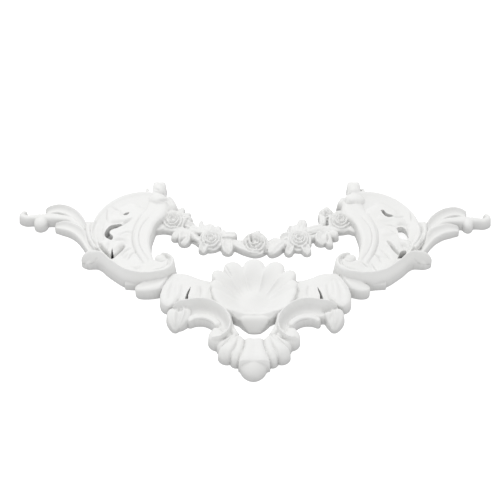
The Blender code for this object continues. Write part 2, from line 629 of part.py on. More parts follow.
def add_garland(forms):
    """The swag of roses that hangs from wing to wing."""
    forms.ribbon(GARLAND_STEM, PAD, start=2, end=2)
    for leaf, profile in GARLAND_LEAVES:
        forms.ribbon(leaf, profile)
    for x, y, radius, height, turn in ROSES:
        forms.rose(x, y, radius, height, turn)
    for forms.side in (-1, 1):
        head = HEAD_PLACE[forms.side]
        forms.dome(head, 166, 13, 10, 27, turn=-8 * forms.side, edge=0.72)
        forms.ribbon(
            [(head, 174, 9.5, 26), (head + 0.5, 187, 9, 27.5), (head + 1, 196, 8.6, 27)],
            PAD, end=5,
        )
        forms.ribbon(
            [(head + 1, 183, 6, 16), (head + 1, 198, 9, 16.5), (head + 1, 209, 8.6, 16)],
            FLAT, start=2, end=2,
        )
        forms.ribbon([(140, 184, 3, 15), (147, 192, 2.6, 15), (147, 199, 2.2, 14)], PAD)
    forms.side = 0


def plaster():
    """Matt white polyurethane."""
    material = bpy.data.materials.new("white_casting")
    material.use_nodes = True
    shader = material.node_tree.nodes["Principled BSDF"]
    shader.inputs["Base Color"].default_value = (0.86, 0.86, 0.85, 1)
    shader.inputs["Roughness"].default_value = 0.6
    shader.inputs["Metallic"].default_value = 0.0
    return material


def all_forms():
    """Every closed form that the casting is fused from."""
    forms = Forms()
    add_shell(forms)
    add_palmette(forms)
    add_lower_scrolls(forms)
    add_arm_leaves(forms)
    add_big_scrolls(forms)
    add_wings(forms)
    add_tails(forms)
    add_garland(forms)
    return forms


def add_cutter(collection, name, points, faces):
    """A hidden solid that cuts the casting."""
    mesh = bpy.data.meshes.new(name)
    mesh.from_pydata([tuple(c * MM for c in point) for point in points], [], faces)
    mesh.update()
    cutter = bpy.data.objects.new(name, mesh)
    cutter.hide_render = True
    cutter.display_type = "WIRE"
    collection.objects.link(cutter)
    return cutter


def prism(outline, low, high):
    """An upright prism over the outline, which is given counter-clockwise."""
    count = len(outline)
    points = [(x, y, low) for x, y in outline] + [(x, y, high) for x, y in outline]
    faces = [tuple(range(count))[::-1], tuple(range(count, 2 * count))]
    for i in range(count):
        j = (i + 1) % count
        faces.append((i, j, count + j, count + i))
    return points, faces


# How far the cutters reach past the ornament: sideways and below its back
BEYOND = 400
DEEPER = 20


def back_cutter(collection):
    """The block under the back plane, which trims the skirts off flat."""
    outline = ((-BEYOND, -BEYOND), (BEYOND, -BEYOND), (BEYOND, BEYOND), (-BEYOND, BEYOND))
    return add_cutter(collection, "back_cutter", *prism(outline, -DEEPER, 0))


def cut_outlines():
    """Each cut as its heights from and to, and its outline, which runs counter-clockwise."""
    cuts = []
    for where, low, high, outline in CUTS:
        for side in (where,) if where else (-1, 1):
            flat = placed(outline, -1) if side < 0 else placed(outline, 1 if not where else 0)
            area = sum(np.cross(flat[i - 1], flat[i]) for i in range(len(flat)))
            cuts.append((low, high, flat if area > 0 else flat[::-1]))
    return cuts


def hole_cutters(collection):
    """A pin for each hole and pocket."""
    return [
        add_cutter(collection, f"hole_cutter_{k}", *prism([tuple(p) for p in outline], low, high))
        for k, (low, high, outline) in enumerate(cut_outlines())
    ]


def face_count(obj):
    """Triangles of the object with its modifiers on."""
    graph = bpy.context.evaluated_depsgraph_get()
    evaluated = obj.evaluated_get(graph)
    mesh = evaluated.to_mesh()
    mesh.calc_loop_triangles()
    count = len(mesh.loop_triangles)
    evaluated.to_mesh_clear()
    return count


def main():
    for obj in list(bpy.data.objects):
        bpy.data.objects.remove(obj)
    ornament_parts = bpy.data.collections.new(CASTING)
    cutters = bpy.data.collections.new("cutters")
    for collection in (ornament_parts, cutters):
        bpy.context.scene.collection.children.link(collection)

    forms = all_forms()
    mesh = bpy.data.meshes.new(CASTING)
    mesh.from_pydata(forms.points, [], forms.faces)
    mesh.update()
    casting = bpy.data.objects.new(CASTING, mesh)
    casting.data.materials.append(plaster())
    ornament_parts.objects.link(casting)

    fuse = casting.modifiers.new("fuse", "REMESH")
    fuse.mode = "VOXEL"
    fuse.voxel_size = VOXEL * MM
    soften = casting.modifiers.new("soften", "SMOOTH")
    soften.factor = 0.5
    soften.iterations = SMOOTHING
    fine = face_count(casting)
    facet = casting.modifiers.new("facet", "DECIMATE")
    facet.ratio = TRIANGLES / fine
    for cutter in [back_cutter(cutters), *hole_cutters(cutters)]:
        cut = casting.modifiers.new(cutter.name, "BOOLEAN")
        cut.operation = "DIFFERENCE"
        cut.object = cutter


if __name__ == "__main__":
    main()
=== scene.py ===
"""Looks of the carved ceiling corner ornament: one white casting on a pale floor, seen as in the photograph.

The casting is carved from closed forms, one for each stem, leaf, rose and shell. They are fused into one
skin, softened, cut flat at the back and pierced. X runs from tip to tip, -Y points to the corner where the
two arms meet, and +Z out of the carved face. Sizes in the tables are in millimetres.
"""

import math

import bpy
import numpy as np
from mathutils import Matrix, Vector, noise


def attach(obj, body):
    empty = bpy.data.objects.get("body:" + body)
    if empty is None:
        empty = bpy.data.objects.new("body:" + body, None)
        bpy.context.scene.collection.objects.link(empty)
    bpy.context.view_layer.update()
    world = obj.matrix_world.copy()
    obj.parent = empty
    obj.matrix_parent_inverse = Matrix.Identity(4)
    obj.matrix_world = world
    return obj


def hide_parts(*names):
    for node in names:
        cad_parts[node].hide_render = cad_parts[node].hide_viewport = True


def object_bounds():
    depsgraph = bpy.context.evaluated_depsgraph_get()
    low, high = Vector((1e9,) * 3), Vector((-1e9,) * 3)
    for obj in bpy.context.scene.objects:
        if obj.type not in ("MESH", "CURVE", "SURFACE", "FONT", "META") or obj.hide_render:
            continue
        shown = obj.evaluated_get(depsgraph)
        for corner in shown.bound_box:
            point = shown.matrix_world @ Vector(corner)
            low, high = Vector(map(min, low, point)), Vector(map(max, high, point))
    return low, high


bl_info = {
    "name": "Ceiling corner ornament",
    "version": (1, 0, 0),
    "blender": (4, 5, 0),
    "location": "View3D > Sidebar > Ornament",
    "description": "Carves the white casting and sets up its studio",
    "category": "Object",
}

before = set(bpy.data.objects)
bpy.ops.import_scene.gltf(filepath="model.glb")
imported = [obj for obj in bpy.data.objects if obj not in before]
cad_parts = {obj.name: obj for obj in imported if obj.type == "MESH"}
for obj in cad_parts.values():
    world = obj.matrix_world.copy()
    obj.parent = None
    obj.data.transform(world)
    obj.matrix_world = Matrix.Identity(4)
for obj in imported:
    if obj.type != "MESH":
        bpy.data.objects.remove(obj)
CAD_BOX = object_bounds()

MM = 0.001
LINE_SPOTS = 60  # places looked at along a fine line
UPWARD = 0.2  # least upward share of the normal where a line is cut
LINE_START = 0.08  # share of a fine line's fade that is over at its very end
LINE_FADE = 0.6  # how softly a fine line fades out towards its ends
CASTING = "corner_ornament"
SKIRT = 2.6  # how far each form runs below the back before the back is cut flat
DRAFT = 0.07  # lean of the side walls
NEARBY = 0.2  # how far on each side of a place the direction of a form is measured
TIP_TURN = 0.04  # radians round an end from its very tip to its first section
THINNEST = 0.4  # least half width of a form
GROOVE_TIP = 0.02  # share of a form at its tips where the fade of its grooves no longer changes
GROOVE_FADE = 0.4  # how softly the grooves of a form fade out towards its tips

# How finely the forms are sampled
STEP = 1.3
END_SECTIONS = 8
SECTION_SAMPLES = 160
KNOB_SHARES = np.linspace(0.08, 1, 14)
KNOB_SIDES = 48
ROSE_SHARES = (*np.linspace(0.03, 0.9, 46), *np.linspace(0.92, 1.06, 8))
ROSE_SIDES = 96
ACROSS = (2.2, 13, 41)  # points across a form for each mm of its half width, their least and most


def mirrored(*half):
    """A cross section whose right half mirrors this left one, which ends in the middle."""
    return (*half, *[(-t, share) for t, share in half[-2::-1]])


# Cross sections: from the left edge (-1) to the right edge (1) of a form, as shares of its height
PAD = mirrored((-1, 0.5), (-0.9, 0.76), (-0.75, 0.89), (-0.45, 0.975), (0, 1))
FLAT = mirrored((-1, 0.78), (-0.94, 0.92), (-0.8, 0.98), (0, 1))
HOLLOW = mirrored((-1, 0.7), (-0.92, 0.93), (-0.78, 1), (-0.4, 0.84), (0, 0.76))
RIDGE = mirrored((-1, 0.5), (-0.9, 0.72), (-0.6, 0.83), (-0.2, 0.88), (0, 1))
DISH = ((-1, 0.82), (-0.95, 0.97), (-0.86, 1), (-0.5, 0.93), (0, 0.85), (0.5, 0.79), (1, 0.74))
COVE = (
    (-1, 0.86), (-0.95, 0.98), (-0.85, 1), (-0.72, 0.95), (-0.62, 0.8), (-0.45, 0.63), (-0.2, 0.51),
    (0.3, 0.44), (0.8, 0.46), (1, 0.38),
)
BROW = (
    (-1, 0.3), (-0.9, 0.5), (-0.72, 0.75), (-0.5, 0.92), (-0.28, 1), (-0.1, 0.97), (0.2, 0.82), (0.6, 0.65),
    (1, 0.5),
)
FLARE = ((-1, 0.5), (-0.8, 0.54), (-0.5, 0.62), (-0.15, 0.79), (0.15, 0.96), (0.32, 1), (0.6, 0.9), (1, 0.6))
TRAY = (
    (-1, 0.8), (-0.92, 0.96), (-0.78, 1), (-0.5, 0.88), (-0.15, 0.76), (0.35, 0.7), (0.8, 0.7), (1, 0.56),
)
BAR = ((-1, 0.72), (-0.85, 0.92), (-0.5, 1), (0.5, 1), (0.85, 0.92), (1, 0.72))


def turned(profile):
    """The same cross section the other way round."""
    return tuple((-t, share) for t, share in reversed(profile))


def curve_through(rows, at):
    """Values at these distances along the smooth curve through the rows, whose first columns are x and y."""
    rows = np.array(rows, float)
    chords = np.linalg.norm(np.diff(rows[:, :2], axis=0), axis=1)
    knots = np.concatenate([[0.0], np.cumsum(chords)])
    if len(rows) > 2:
        slopes = np.gradient(rows, knots, axis=0)
    else:
        slopes = np.repeat(np.diff(rows, axis=0) / chords, 2, axis=0)
    at = np.clip(at, 0.0, knots[-1])
    span = np.clip(np.searchsorted(knots, at, side="right") - 1, 0, len(rows) - 2)
    width = (knots[span + 1] - knots[span])[:, None]
    u = (at - knots[span])[:, None] / width
    return (
        (2 * u**3 - 3 * u**2 + 1) * rows[span]
        + (u**3 - 2 * u**2 + u) * width * slopes[span]
        + (3 * u**2 - 2 * u**3) * rows[span + 1]
        + (u**3 - u**2) * width * slopes[span + 1]
    )


def length_of(rows):
    points = np.array(rows, float)[:, :2]
    return float(np.linalg.norm(np.diff(points, axis=0), axis=1).sum())


def section_heights(profile, across):
    """The profile's height at each of these places across the form."""
    dense = curve_through(profile, np.linspace(0, length_of(profile), SECTION_SAMPLES))
    return np.interp(across, dense[:, 0], dense[:, 1])


def sections_along(length, start, end):
    """Distances along a form, and how full its width is there, with rounded ends of these lengths."""
    turn = np.linspace(TIP_TURN, 0.5 * math.pi, END_SECTIONS)
    middle = length - start - end
    count = max(2, int(middle / STEP) + 1)
    places = [start + middle * i / count for i in range(count + 1)]
    fullness = [1.0] * len(places)
    if start:
        places = list(start * (1 - np.cos(turn[:-1]))) + places
        fullness = list(np.sin(turn[:-1])) + fullness
    if end:
        places = places + list(length - end * (1 - np.cos(turn[:-1][::-1])))
        fullness = fullness + list(np.sin(turn[:-1][::-1]))
    return np.array(places), np.array(fullness)


# Where the right half isn't a mirror image of the left: distance from the middle, shift right, shift up
DRIFT = (
    (85, 0, 0), (115, 4, 0), (205, 4, 0), (226, 7, -1), (240, 7.5, -4), (270, 8, -6), (290, 4, -6),
    (320, 2.5, -6),
)


def placed(points, side):
    """Points of a half on this side: -1 mirrors them, 1 shifts them by the drift, and 0 leaves them."""
    points = np.array(points, float)
    if side > 0:
        reach, right, up = np.array(DRIFT, float).T
        shift = [np.interp(points[:, 0], reach, right), np.interp(points[:, 0], reach, up)]
        points[:, :2] += np.stack(shift, axis=1)
    if side < 0:
        points[:, 0] *= -1
    return points


class Forms:
    """Collects the closed forms of the casting. Its side is -1 for the left half and 1 for the right."""

    def __init__(self):
        self.points = []
        self.faces = []
        self.side = 0

    def add(self, points, faces):
        start = len(self.points)
        self.points.extend(map(tuple, placed(points, self.side) * MM))
        for face in faces:
            self.faces.append(tuple(start + i for i in (face if self.side >= 0 else face[::-1])))

    def ribbon(self, rows, *profiles, start=None, end=None, edge=0.55, grooves=()):
        """A form along the rows (x, y, half width, height), with rounded ends of the lengths start and end.

        grooves are (place across, depth, width across) of lines cut along it.
        """
        profiles = profiles or (PAD,)
        length = length_of(rows)
        start = min(rows[0][2], length / 3) if start is None else start
        end = min(rows[-1][2], length / 3) if end is None else end
        places, fullness = sections_along(length, start, end)
        spine = curve_through(rows, places)
        ahead = curve_through(rows, places + NEARBY)[:, :2] - curve_through(rows, places - NEARBY)[:, :2]
        ahead /= np.linalg.norm(ahead, axis=1)[:, None]
        left = np.stack([-ahead[:, 1], ahead[:, 0]], axis=1)
        dense, fewest, most = ACROSS
        count = int(np.clip(max(row[2] for row in rows) * dense, fewest, most))
        across = -np.cos(np.linspace(0, math.pi, count))
        shapes = np.array([section_heights(profile, across) for profile in profiles])
        points, ring = [], len(across) + 2
        for i, (x, y, half, height) in enumerate(spine):
            share = places[i] / length
            blend = share * (len(profiles) - 1)
            low = min(int(blend), max(len(profiles) - 2, 0))
            after = min(low + 1, len(profiles) - 1)
            shape = shapes[low] * (1 - blend + low) + shapes[after] * (blend - low)
            width = max(half, THINNEST) * fullness[i]
            tops = height * shape * (edge + (1 - edge) * fullness[i])
            fade = math.sin(math.pi * min(max(share, GROOVE_TIP), 1 - GROOVE_TIP)) ** GROOVE_FADE
            for place, depth, spread in grooves:
                tops = tops - fade * depth * np.exp(-(((across - place) / spread) ** 2))
            for t, top in zip(across, tops):
                points.append((x - left[i, 0] * width * t, y - left[i, 1] * width * t, top))
            foot = width + DRAFT * height
            points.append((x - left[i, 0] * foot, y - left[i, 1] * foot, -SKIRT))
            points.append((x + left[i, 0] * foot, y + left[i, 1] * foot, -SKIRT))
        faces = [tuple(range(ring))[::-1], tuple(range(len(points) - ring, len(points)))]
        for i in range(len(spine) - 1):
            for j in range(ring):
                a, b = i * ring + j, i * ring + (j + 1) % ring
                faces.append((a, b, b + ring, a + ring))
        self.add(points, faces)

    def polar(self, centre, turn, rings):
        """A form of rings about a centre, the inmost first. Each is a list of (radius, angle, height)."""
        x, y = centre
        sides = len(rings[0])
        points = [(x, y, rings[0][0][2])]
        foot = [(radius + DRAFT * height, angle, -SKIRT) for radius, angle, height in rings[-1]]
        for ring in (*rings, foot):
            for radius, angle, height in ring:
                a = angle + math.radians(turn)
                points.append((x + radius * math.cos(a), y + radius * math.sin(a), height))
        faces = [(0, 1 + j, 1 + (j + 1) % sides) for j in range(sides)]
        for i in range(len(rings)):
            for j in range(sides):
                a, b = 1 + i * sides + j, 1 + i * sides + (j + 1) % sides
                faces.append((a, a + sides, b + sides, b))
        faces.append(tuple(range(len(points) - sides, len(points)))[::-1])
        self.add(points, faces)

    def dome(self, x, y, long, short, height, turn=0.0, edge=0.5):
        """A knob: an oval of these half lengths, whose top rolls over to its edge."""
        rings = []
        for share in KNOB_SHARES:
            radius = math.sin(share * math.pi / 2)
            z = height * (edge + (1 - edge) * math.cos(share * math.pi / 2))
            ring = []
            for a in np.linspace(0, 2 * math.pi, KNOB_SIDES, endpoint=False):
                u, v = long * math.cos(a), short * math.sin(a)
                ring.append((radius * math.hypot(u, v), math.atan2(v, u), z))
            rings.append(ring)
        self.polar((x, y), turn, rings)

    def rose(self, x, y, radius, height, turn=0.0, tilt=4.5):
        """A rose seen from above: cupped petals that overlap in rings round a rolled bud."""
        angles = np.linspace(0, 2 * math.pi, ROSE_SIDES, endpoint=False)
        rings = []
        for share in ROSE_SHARES:
            levels = np.array([rose_level(share, a) for a in angles])
            rise = tilt * share * np.sin(angles + math.radians(turn))
            tops = height * levels + rise
            rings.append([(radius * share, a, top) for a, top in zip(angles, tops)])
        self.polar((x, y), turn, rings)


# Petals of a rose: how many in a ring, its radius and height as shares, angle of the first, depth of cup
ROSE_RINGS = (
    (3, 1.05, 0.64, 0.4, 0.22), (3, 0.8, 0.82, 1.4, 0.28), (3, 0.55, 0.94, 0.2, 0.3),
    (2, 0.31, 1.0, 0.9, 0.26),
)
ROSE_FLOOR = 0.42
PETAL_OVERLAP = 1.25  # width of a petal as a share of its part of the ring
PETAL_POINT = 0.09  # how far its edge draws in at its sides
LIP_WIDTH = 0.1  # share of a petal that rolls over, and how far it drops
LIP_DROP = 0.07
CUP_SLOPE = 1.9
PETAL_LEAN = 0.045  # rise from one side of a petal to the other


def rose_level(share, angle):
    """Height of a rose, as a share of its own, at this share of its radius and this angle."""
    level = ROSE_FLOOR
    for count, reach, top, first, cup in ROSE_RINGS:
        for i in range(count):
            half = PETAL_OVERLAP * math.pi / count
            u = ((angle - first - 2 * math.pi * i / count + math.pi) % (2 * math.pi) - math.pi) / half
            if abs(u) >= 1:
                continue
            edge = reach * (1 - PETAL_POINT * abs(u) ** 3)
            if share > edge:
                continue
            inward = (edge - share) / edge
            rolled = max(0.0, 1 - inward / LIP_WIDTH)
            petal = top - cup * min(1.0, inward * CUP_SLOPE) - LIP_DROP * rolled**2 + PETAL_LEAN * u
            level = max(level, petal)
    return level


# The shell's lobes on each side of its middle: edge in degrees from +Y, radius there, bulge, groove
SHELL_HUB = (0.0, -24.0)
SHELL_LOBES = (
    (13.8, 57, 14.5, 1.2), (37.6, 59.5, 14.5, 1.2), (54, 59.5, 12, 1.0), (67, 57.5, 4, 0.4),
    (79, 52, 1, 0.2), (91, 46, 0.6, 0.12), (103, 39.5, 0.3, 0.0),
)
SHELL_NOTCH = 56  # radius of the edge under the middle lobe
SHELL_FRONT = ((103, 39), (115, 31), (131, 29), (149, 26), (180, 21))  # degrees and radius
SHELL_RIM = ((0, 27.5), (50, 27), (100, 21.5), (120, 19), (180, 18.5))  # degrees and height
SHELL_FLOOR = 14.5
SHELL_BOSS = (-9.0, 13.0, 4.0)  # its y, spread and height
SHELL_BRINK = (-36.5, 18.8, 0.8)  # y and height where the front starts to fall, and its slope
SHELL_FLUTE = 2.6  # depth of the grooves between lobes at the rim
SHELL_TURN = 105  # degrees where the front begins
FLUTE_SHARPNESS = 3
FLUTE_START = 0.45  # share of the radius where the grooves begin
FLUTE_RISE = 0.35  # how far the middle of a lobe rises, as a share of the groove's depth
FLOOR_SHARE = 0.3  # share of the radius that is floor
RIM_WIDTH = 0.65  # share of the radius over which the rim rises
EDGE_START = 0.95  # share of the radius where the edge starts to roll over
EDGE_DROP = 1.6
NO_ANGLE = 1e-6  # degrees
LOBE_REACH = 0.997  # how near to a groove the last spoke of a lobe stands
SHELL_SHARES = (*np.linspace(0.02, 0.9, 40), 0.92, 0.94, 0.955, 0.97, 0.98, 0.99, 1.0)
LOBE_SIDES = 22
FRONT_SPOKES = 30


def shell_spokes():
    """Spokes of the shell from its middle to its foot: degrees, radius, place across its lobe, groove."""
    spokes = []
    inner = 0.0
    edges = np.array([(0, SHELL_NOTCH), *[lobe[:2] for lobe in SHELL_LOBES]], float)
    for k, (outer, _, bulge, groove) in enumerate(SHELL_LOBES):
        low = -outer if k == 0 else inner
        for i in range(LOBE_SIDES):
            u = -math.cos(math.pi * (i + 0.5) / LOBE_SIDES) * LOBE_REACH
            degrees = low + (outer - low) * (u + 1) / 2
            if k == 0 and degrees < -NO_ANGLE:
                continue
            radius = float(np.interp(abs(degrees), edges[:, 0], edges[:, 1])) + bulge * math.sqrt(1 - u * u)
            spokes.append((degrees, radius, u, groove))
        inner = outer
    turn, radius = np.array(SHELL_FRONT, float).T
    for degrees in np.linspace(SHELL_TURN, 180, FRONT_SPOKES):
        spokes.append((float(degrees), float(np.interp(degrees, turn, radius)), 0.0, 0.0))
    return spokes


def shell_level(x, y, degrees, share):
    """Height of the shell's bowl: a floor with a boss, a rim round it, and a front that falls away."""
    centre, spread, boss = SHELL_BOSS
    level = SHELL_FLOOR + boss * math.exp(-(x * x + (y - centre) ** 2) / spread**2)
    rise = min(1.0, max(0.0, (share - FLOOR_SHARE) / RIM_WIDTH))
    turn, rim = np.array(SHELL_RIM, float).T
    level += (float(np.interp(abs(degrees), turn, rim)) - level) * rise * rise * (3 - 2 * rise)
    level -= EDGE_DROP * max(0.0, (share - EDGE_START) / (1 - EDGE_START)) ** 2
    brink, top, slope = SHELL_BRINK
    return min(level, top - slope * (brink - y)) if y < brink else level


def add_shell(forms):
    """The scallop shell in the middle, with a half-round foot below its front."""
    half = shell_spokes()
    spokes = half + [(-d, r, u, groove) for d, r, u, groove in half[::-1] if NO_ANGLE < d < 180 - NO_ANGLE]
    rings = []
    for share in SHELL_SHARES:
        ring = []
        for degrees, radius, u, groove in spokes:
            angle = math.radians(90 - degrees)
            x = SHELL_HUB[0] + radius * share * math.cos(angle)
            y = SHELL_HUB[1] + radius * share * math.sin(angle)
            depth = SHELL_FLUTE * groove * max(0.0, (share - FLUTE_START) / (1 - FLUTE_START))
            flute = depth * (FLUTE_RISE - abs(u) ** FLUTE_SHARPNESS)
            ring.append((radius * share, angle, shell_level(x, y, degrees, share) + flute))
        rings.append(ring[::-1])
    forms.polar(SHELL_HUB, 0.0, rings)
    forms.ribbon([
        (0.5, -34, 18, 14.5), (0.5, -45.5, 18, 14.5), (0.5, -51, 14, 9.5), (0.5, -58, 6.5, 2),
    ], FLAT, start=1, end=1)


def add_palmette(forms):
    """The fan of leaves at the corner, with a ball under its middle tongue."""
    forms.ribbon([
        (0, -79, 11.8, 19), (0, -92, 12.5, 21), (0, -104, 15.5, 23), (0, -112, 17.8, 23),
        (0, -119, 18, 21.5),
    ], FLAT, start=1, end=2, edge=0.8)
    forms.dome(-1, -108.5, 17.5, 24, 22, edge=0.3)
    for forms.side in (-1, 1):
        forms.ribbon([
            (14.5, -76, 4.5, 19), (17.5, -91, 6, 19.5), (21.5, -103, 6, 18), (24, -112, 4.5, 13.5),
        ])
        forms.ribbon([(15, -74, 4, 19), (24, -85, 7, 20.5), (33, -96, 10, 19.5), (39, -105.5, 9.5, 15)])
        forms.ribbon([(22, -72, 4, 18), (31, -81, 5, 18.5), (44, -90.5, 8, 16.5)])
        forms.ribbon([(33, -34, 4, 17), (30.5, -48, 4, 18), (27, -62, 4.5, 18.5), (20, -75, 5, 19)])
    forms.side = 0


def add_lower_scrolls(forms):
    """The pair of C scrolls that hold the shell, each with a drooping leaf and a rolled end."""
    for forms.side in (-1, 1):
        forms.ribbon([
            (103, -28, 6.5, 20.5), (94, -30, 8.5, 24.5), (82, -31, 9.5, 27), (66, -30, 10.5, 28),
            (51, -36, 10, 28), (40, -47, 9, 27), (36, -58, 8, 26), (38, -67, 8, 25), (46, -73.5, 8, 23.5),
            (54, -75.5, 5, 21.5),
        ], turned(COVE), start=6, end=3)
        forms.ribbon([
            (95, -27, 13.5, 21.5), (98, -38, 11, 18.5), (98, -48, 7.5, 14), (97, -56.5, 2.5, 7),
        ], RIDGE, end=2)
        if forms.side < 0:
            forms.ribbon([(88, -25, 9, 22), (87, -36, 9.5, 19.5), (90, -46, 6, 15), (94, -53, 2, 8)], RIDGE)
        forms.ribbon([(47, -58, 6, 16), (45, -68, 7, 16.5)])
        forms.ribbon([(34, -62, 5, 19), (33, -70, 6, 18.5), (31, -78, 6, 18)])
        forms.ribbon([
            (43, -56, 4.5, 14.5), (50, -46.5, 4.5, 15), (62, -40.5, 4.5, 15), (74, -41, 4.5, 14.5),
            (82, -47, 2.5, 13),
        ], FLAT)
        forms.dome(45.5, -73.3, 11.5, 10.5, 18.5, turn=70, edge=0.7)
    forms.side = 0


ARM_TIP = {-1: 151, 1: 143.5}  # how far out the last leaf of each arm reaches


def add_arm_leaves(forms):
    """The arms between the shell and the big scrolls: a broad band that breaks into leaves at its front."""
    for forms.side in (-1, 1):
        forms.ribbon([
            (44, 0, 18, 16), (62, 1, 19.5, 17), (80, 4, 22, 18), (97, 11, 22, 18.5), (111, 17, 15, 19),
        ], FLAT, start=2, end=3)
        forms.ribbon([
            (106, 25, 8, 19.5), (124, 15, 11.5, 17.5), (ARM_TIP[forms.side] - 12, 10, 9, 16),
            (ARM_TIP[forms.side], 7.5, 5, 14),
        ], FLAT, edge=0.85)
        forms.ribbon([
            (104, 22, 9, 19), (104, 8, 11.5, 19), (106, -8, 12.5, 18.5), (108.5, -25, 7, 16.5),
        ], FLAT, edge=0.85)
        forms.ribbon([(89, 14, 5, 18.5), (89.5, 0, 5, 18.6), (91, -20, 5, 17.5)])
        forms.ribbon([(74, 14, 6.5, 18), (75, -2, 6.6, 18.5), (76, -19, 6, 17.5)])
        forms.ribbon([(60, 12, 6.5, 17), (60.5, -2, 6, 17.6), (61, -18, 5, 17)])
        forms.ribbon([(147, 21.5, 5, 10), (165.5, 23, 5, 10)], FLAT, start=1, end=2)
    forms.side = 0


def add_big_scrolls(forms):
    """The large C scroll under each wing: a flared end, a high outer wall and a volute round an eye."""
    for forms.side in (-1, 1):
        forms.ribbon([
            (225, 61, 7, 18), (217, 62.5, 8.5, 23), (208.5, 63, 8, 27.5), (201, 61.5, 7, 30),
            (192, 55, 6.2, 30), (184, 46, 6, 30), (174, 37, 6, 30), (164.3, 29.3, 6, 30),
            (154.6, 25.3, 6, 30), (140, 22.5, 6, 30), (128, 23.5, 5.5, 30), (115.5, 28, 5, 29.5),
        ], FLARE, BROW, BROW, BROW, BROW, start=11, end=1)
        forms.ribbon([
            (130, 23.6, 4.7, 29), (121, 24.6, 4.9, 29.5), (112, 28, 4, 29), (106.3, 35, 3, 28),
            (104.3, 43.5, 2.9, 27.5), (106.6, 52, 2.9, 27), (112.5, 57.5, 2.9, 26.5), (121, 59.5, 2.9, 25.5),
        ], BROW, BAR, BAR, BAR, start=1, end=2)
        forms.dome(120, 54, 7.8, 5.6, 25, edge=0.9)
        forms.ribbon([
            (152, 38, 10, 17), (140, 38, 12, 19), (128, 40, 13, 21.5), (114, 42, 12, 23.5),
            (105, 42, 10, 24),
        ], FLAT, end=0.5)
    forms.side = 0


def add_wings(forms):
    """The wings: each has a dished rim, a pierced leafy field and a smooth band on its inner side."""
    for forms.side in (-1, 1):
        forms.ribbon([
            (118, 157, 9, 25), (135, 163, 15, 24), (154, 165, 16.5, 23), (174, 158.5, 16.5, 22),
            (191, 145, 14.5, 21), (202, 128, 12, 20), (206, 110, 10, 19), (203, 92, 8, 18.5),
            (196, 75, 6, 18.5), (187, 60, 5, 19),
        ], DISH)
        forms.ribbon([
            (150, 158, 14, 20), (166, 140, 24, 18.5), (172, 120, 28, 18), (171, 98, 28, 18),
            (166, 76, 26, 17.5), (159, 56, 24, 17.5), (150, 42, 18, 17), (136, 34, 13, 17),
        ], FLAT)
        forms.ribbon([
            (129, 172, 13, 24), (130, 160, 15, 22.3), (131, 148, 16, 20.8), (138.5, 134, 13.5, 20),
            (143, 122, 12, 20), (145.8, 110, 12, 20.3), (147.5, 98, 11.5, 20.5), (147, 84, 10.8, 20.5),
            (143.5, 69, 9.7, 20), (138.5, 56, 8.5, 19.5), (132.5, 42, 6.5, 19),
        ], PAD, FLAT, FLAT, FLAT, start=3, end=3)
        forms.ribbon([
            (146, 134, 1.4, 20), (152.5, 122, 1.8, 20.5), (156, 106, 1.8, 21), (155, 84, 1.8, 20.5),
            (148, 65, 1.6, 19.5), (140, 52, 1.4, 19),
        ])
        forms.ribbon([(212, 128, 3, 16), (214.5, 110, 3, 18), (210, 92, 2.8, 19.5), (202, 76, 2.6, 20)])
        forms.ribbon([(222, 132, 2.8, 15), (220.5, 112, 3, 17), (215, 92, 2.8, 18.5), (206, 76, 2.6, 19.5)])
        forms.ribbon([
            (216, 131, 9.5, 15.5), (216.5, 112, 7, 17), (211, 92, 5.5, 18.3), (203, 77, 4, 18.8),
        ], FLAT, start=4)
        for leaf in WING_LEAVES:
            forms.ribbon(leaf, PAD)
    forms.side = 0


# Leaves of a wing's field, as rows
WING_LEAVES = (
    [(158, 150, 9, 19), (174, 147, 10, 19.3), (190, 136, 7, 18.8)],
    [(156, 133, 8, 19.5), (170, 131, 8, 19.5), (184, 128, 5, 18.8)],
    [(158, 106, 11, 19.6), (172, 105, 10, 19.6), (186, 103, 5, 18.6)],
    [(164, 88, 9, 19.2), (177, 83, 8.5, 19.4), (184, 70, 4, 18)],
    [(186, 92, 7, 18.8), (196, 84, 8, 19.2), (192, 72, 4, 18)],
    [(150, 68, 11, 18.8), (163, 64, 9, 18.8), (173, 56, 6, 18)],
    [(142, 46, 5, 17), (152, 44, 5, 17.5), (160, 42, 4, 17)],
)

# Holes and pockets: side (0 for both), heights from and to (below the back if it goes through), outline
CUTS = (
    (0, 4, 60, ((80, 6.5), (81, -1), (82.6, -8), (83.6, -15), (86, -15), (85.3, -8), (83, 0))),
    (0, 9, 60, ((94, -16), (94, -19), (96.4, -19), (96.4, -16))),
    (-1, 8, 60, ((176, 139), (173, 137.5), (169, 139.5), (167.5, 143), (171, 142.5))),
    (
        -1, 2, 60,
        (
            (175, 121.5), (181, 113.5), (187, 110.5), (190.5, 107), (190.5, 103), (187.5, 100),
            (185.5, 96.5), (187, 91), (194, 95), (197.5, 101), (196.5, 109), (192, 116.5), (186, 120.5),
            (178.5, 122.5),
        ),
    ),
    (-1, 2, 60, ((184, 56.5), (186.8, 61), (186, 68), (185, 76), (183.5, 68), (181.3, 62), (182, 58))),
    (1, 8, 60, ((171, 147), (174, 147.5), (178, 142), (187, 136.5), (181, 134), (176, 137), (173, 142))),
    (
        1, -20, 60,
        (
            (189, 113), (195, 116), (200, 113.5), (203.5, 105), (204, 97), (200, 92.5), (194, 92.5),
            (191, 98), (191, 105),
        ),
    ),
    (1, -20, 9, ((189, 96), (204, 96), (206, 112), (200, 123), (190, 121))),
    (1, 2, 60, ((186, 57), (188, 64), (193.5, 72), (198.5, 73.5), (198.5, 68), (193, 60))),
)


BALL_PLACE = {-1: (286.5, 133), 1: (282, 137)}  # of the ball on each tail


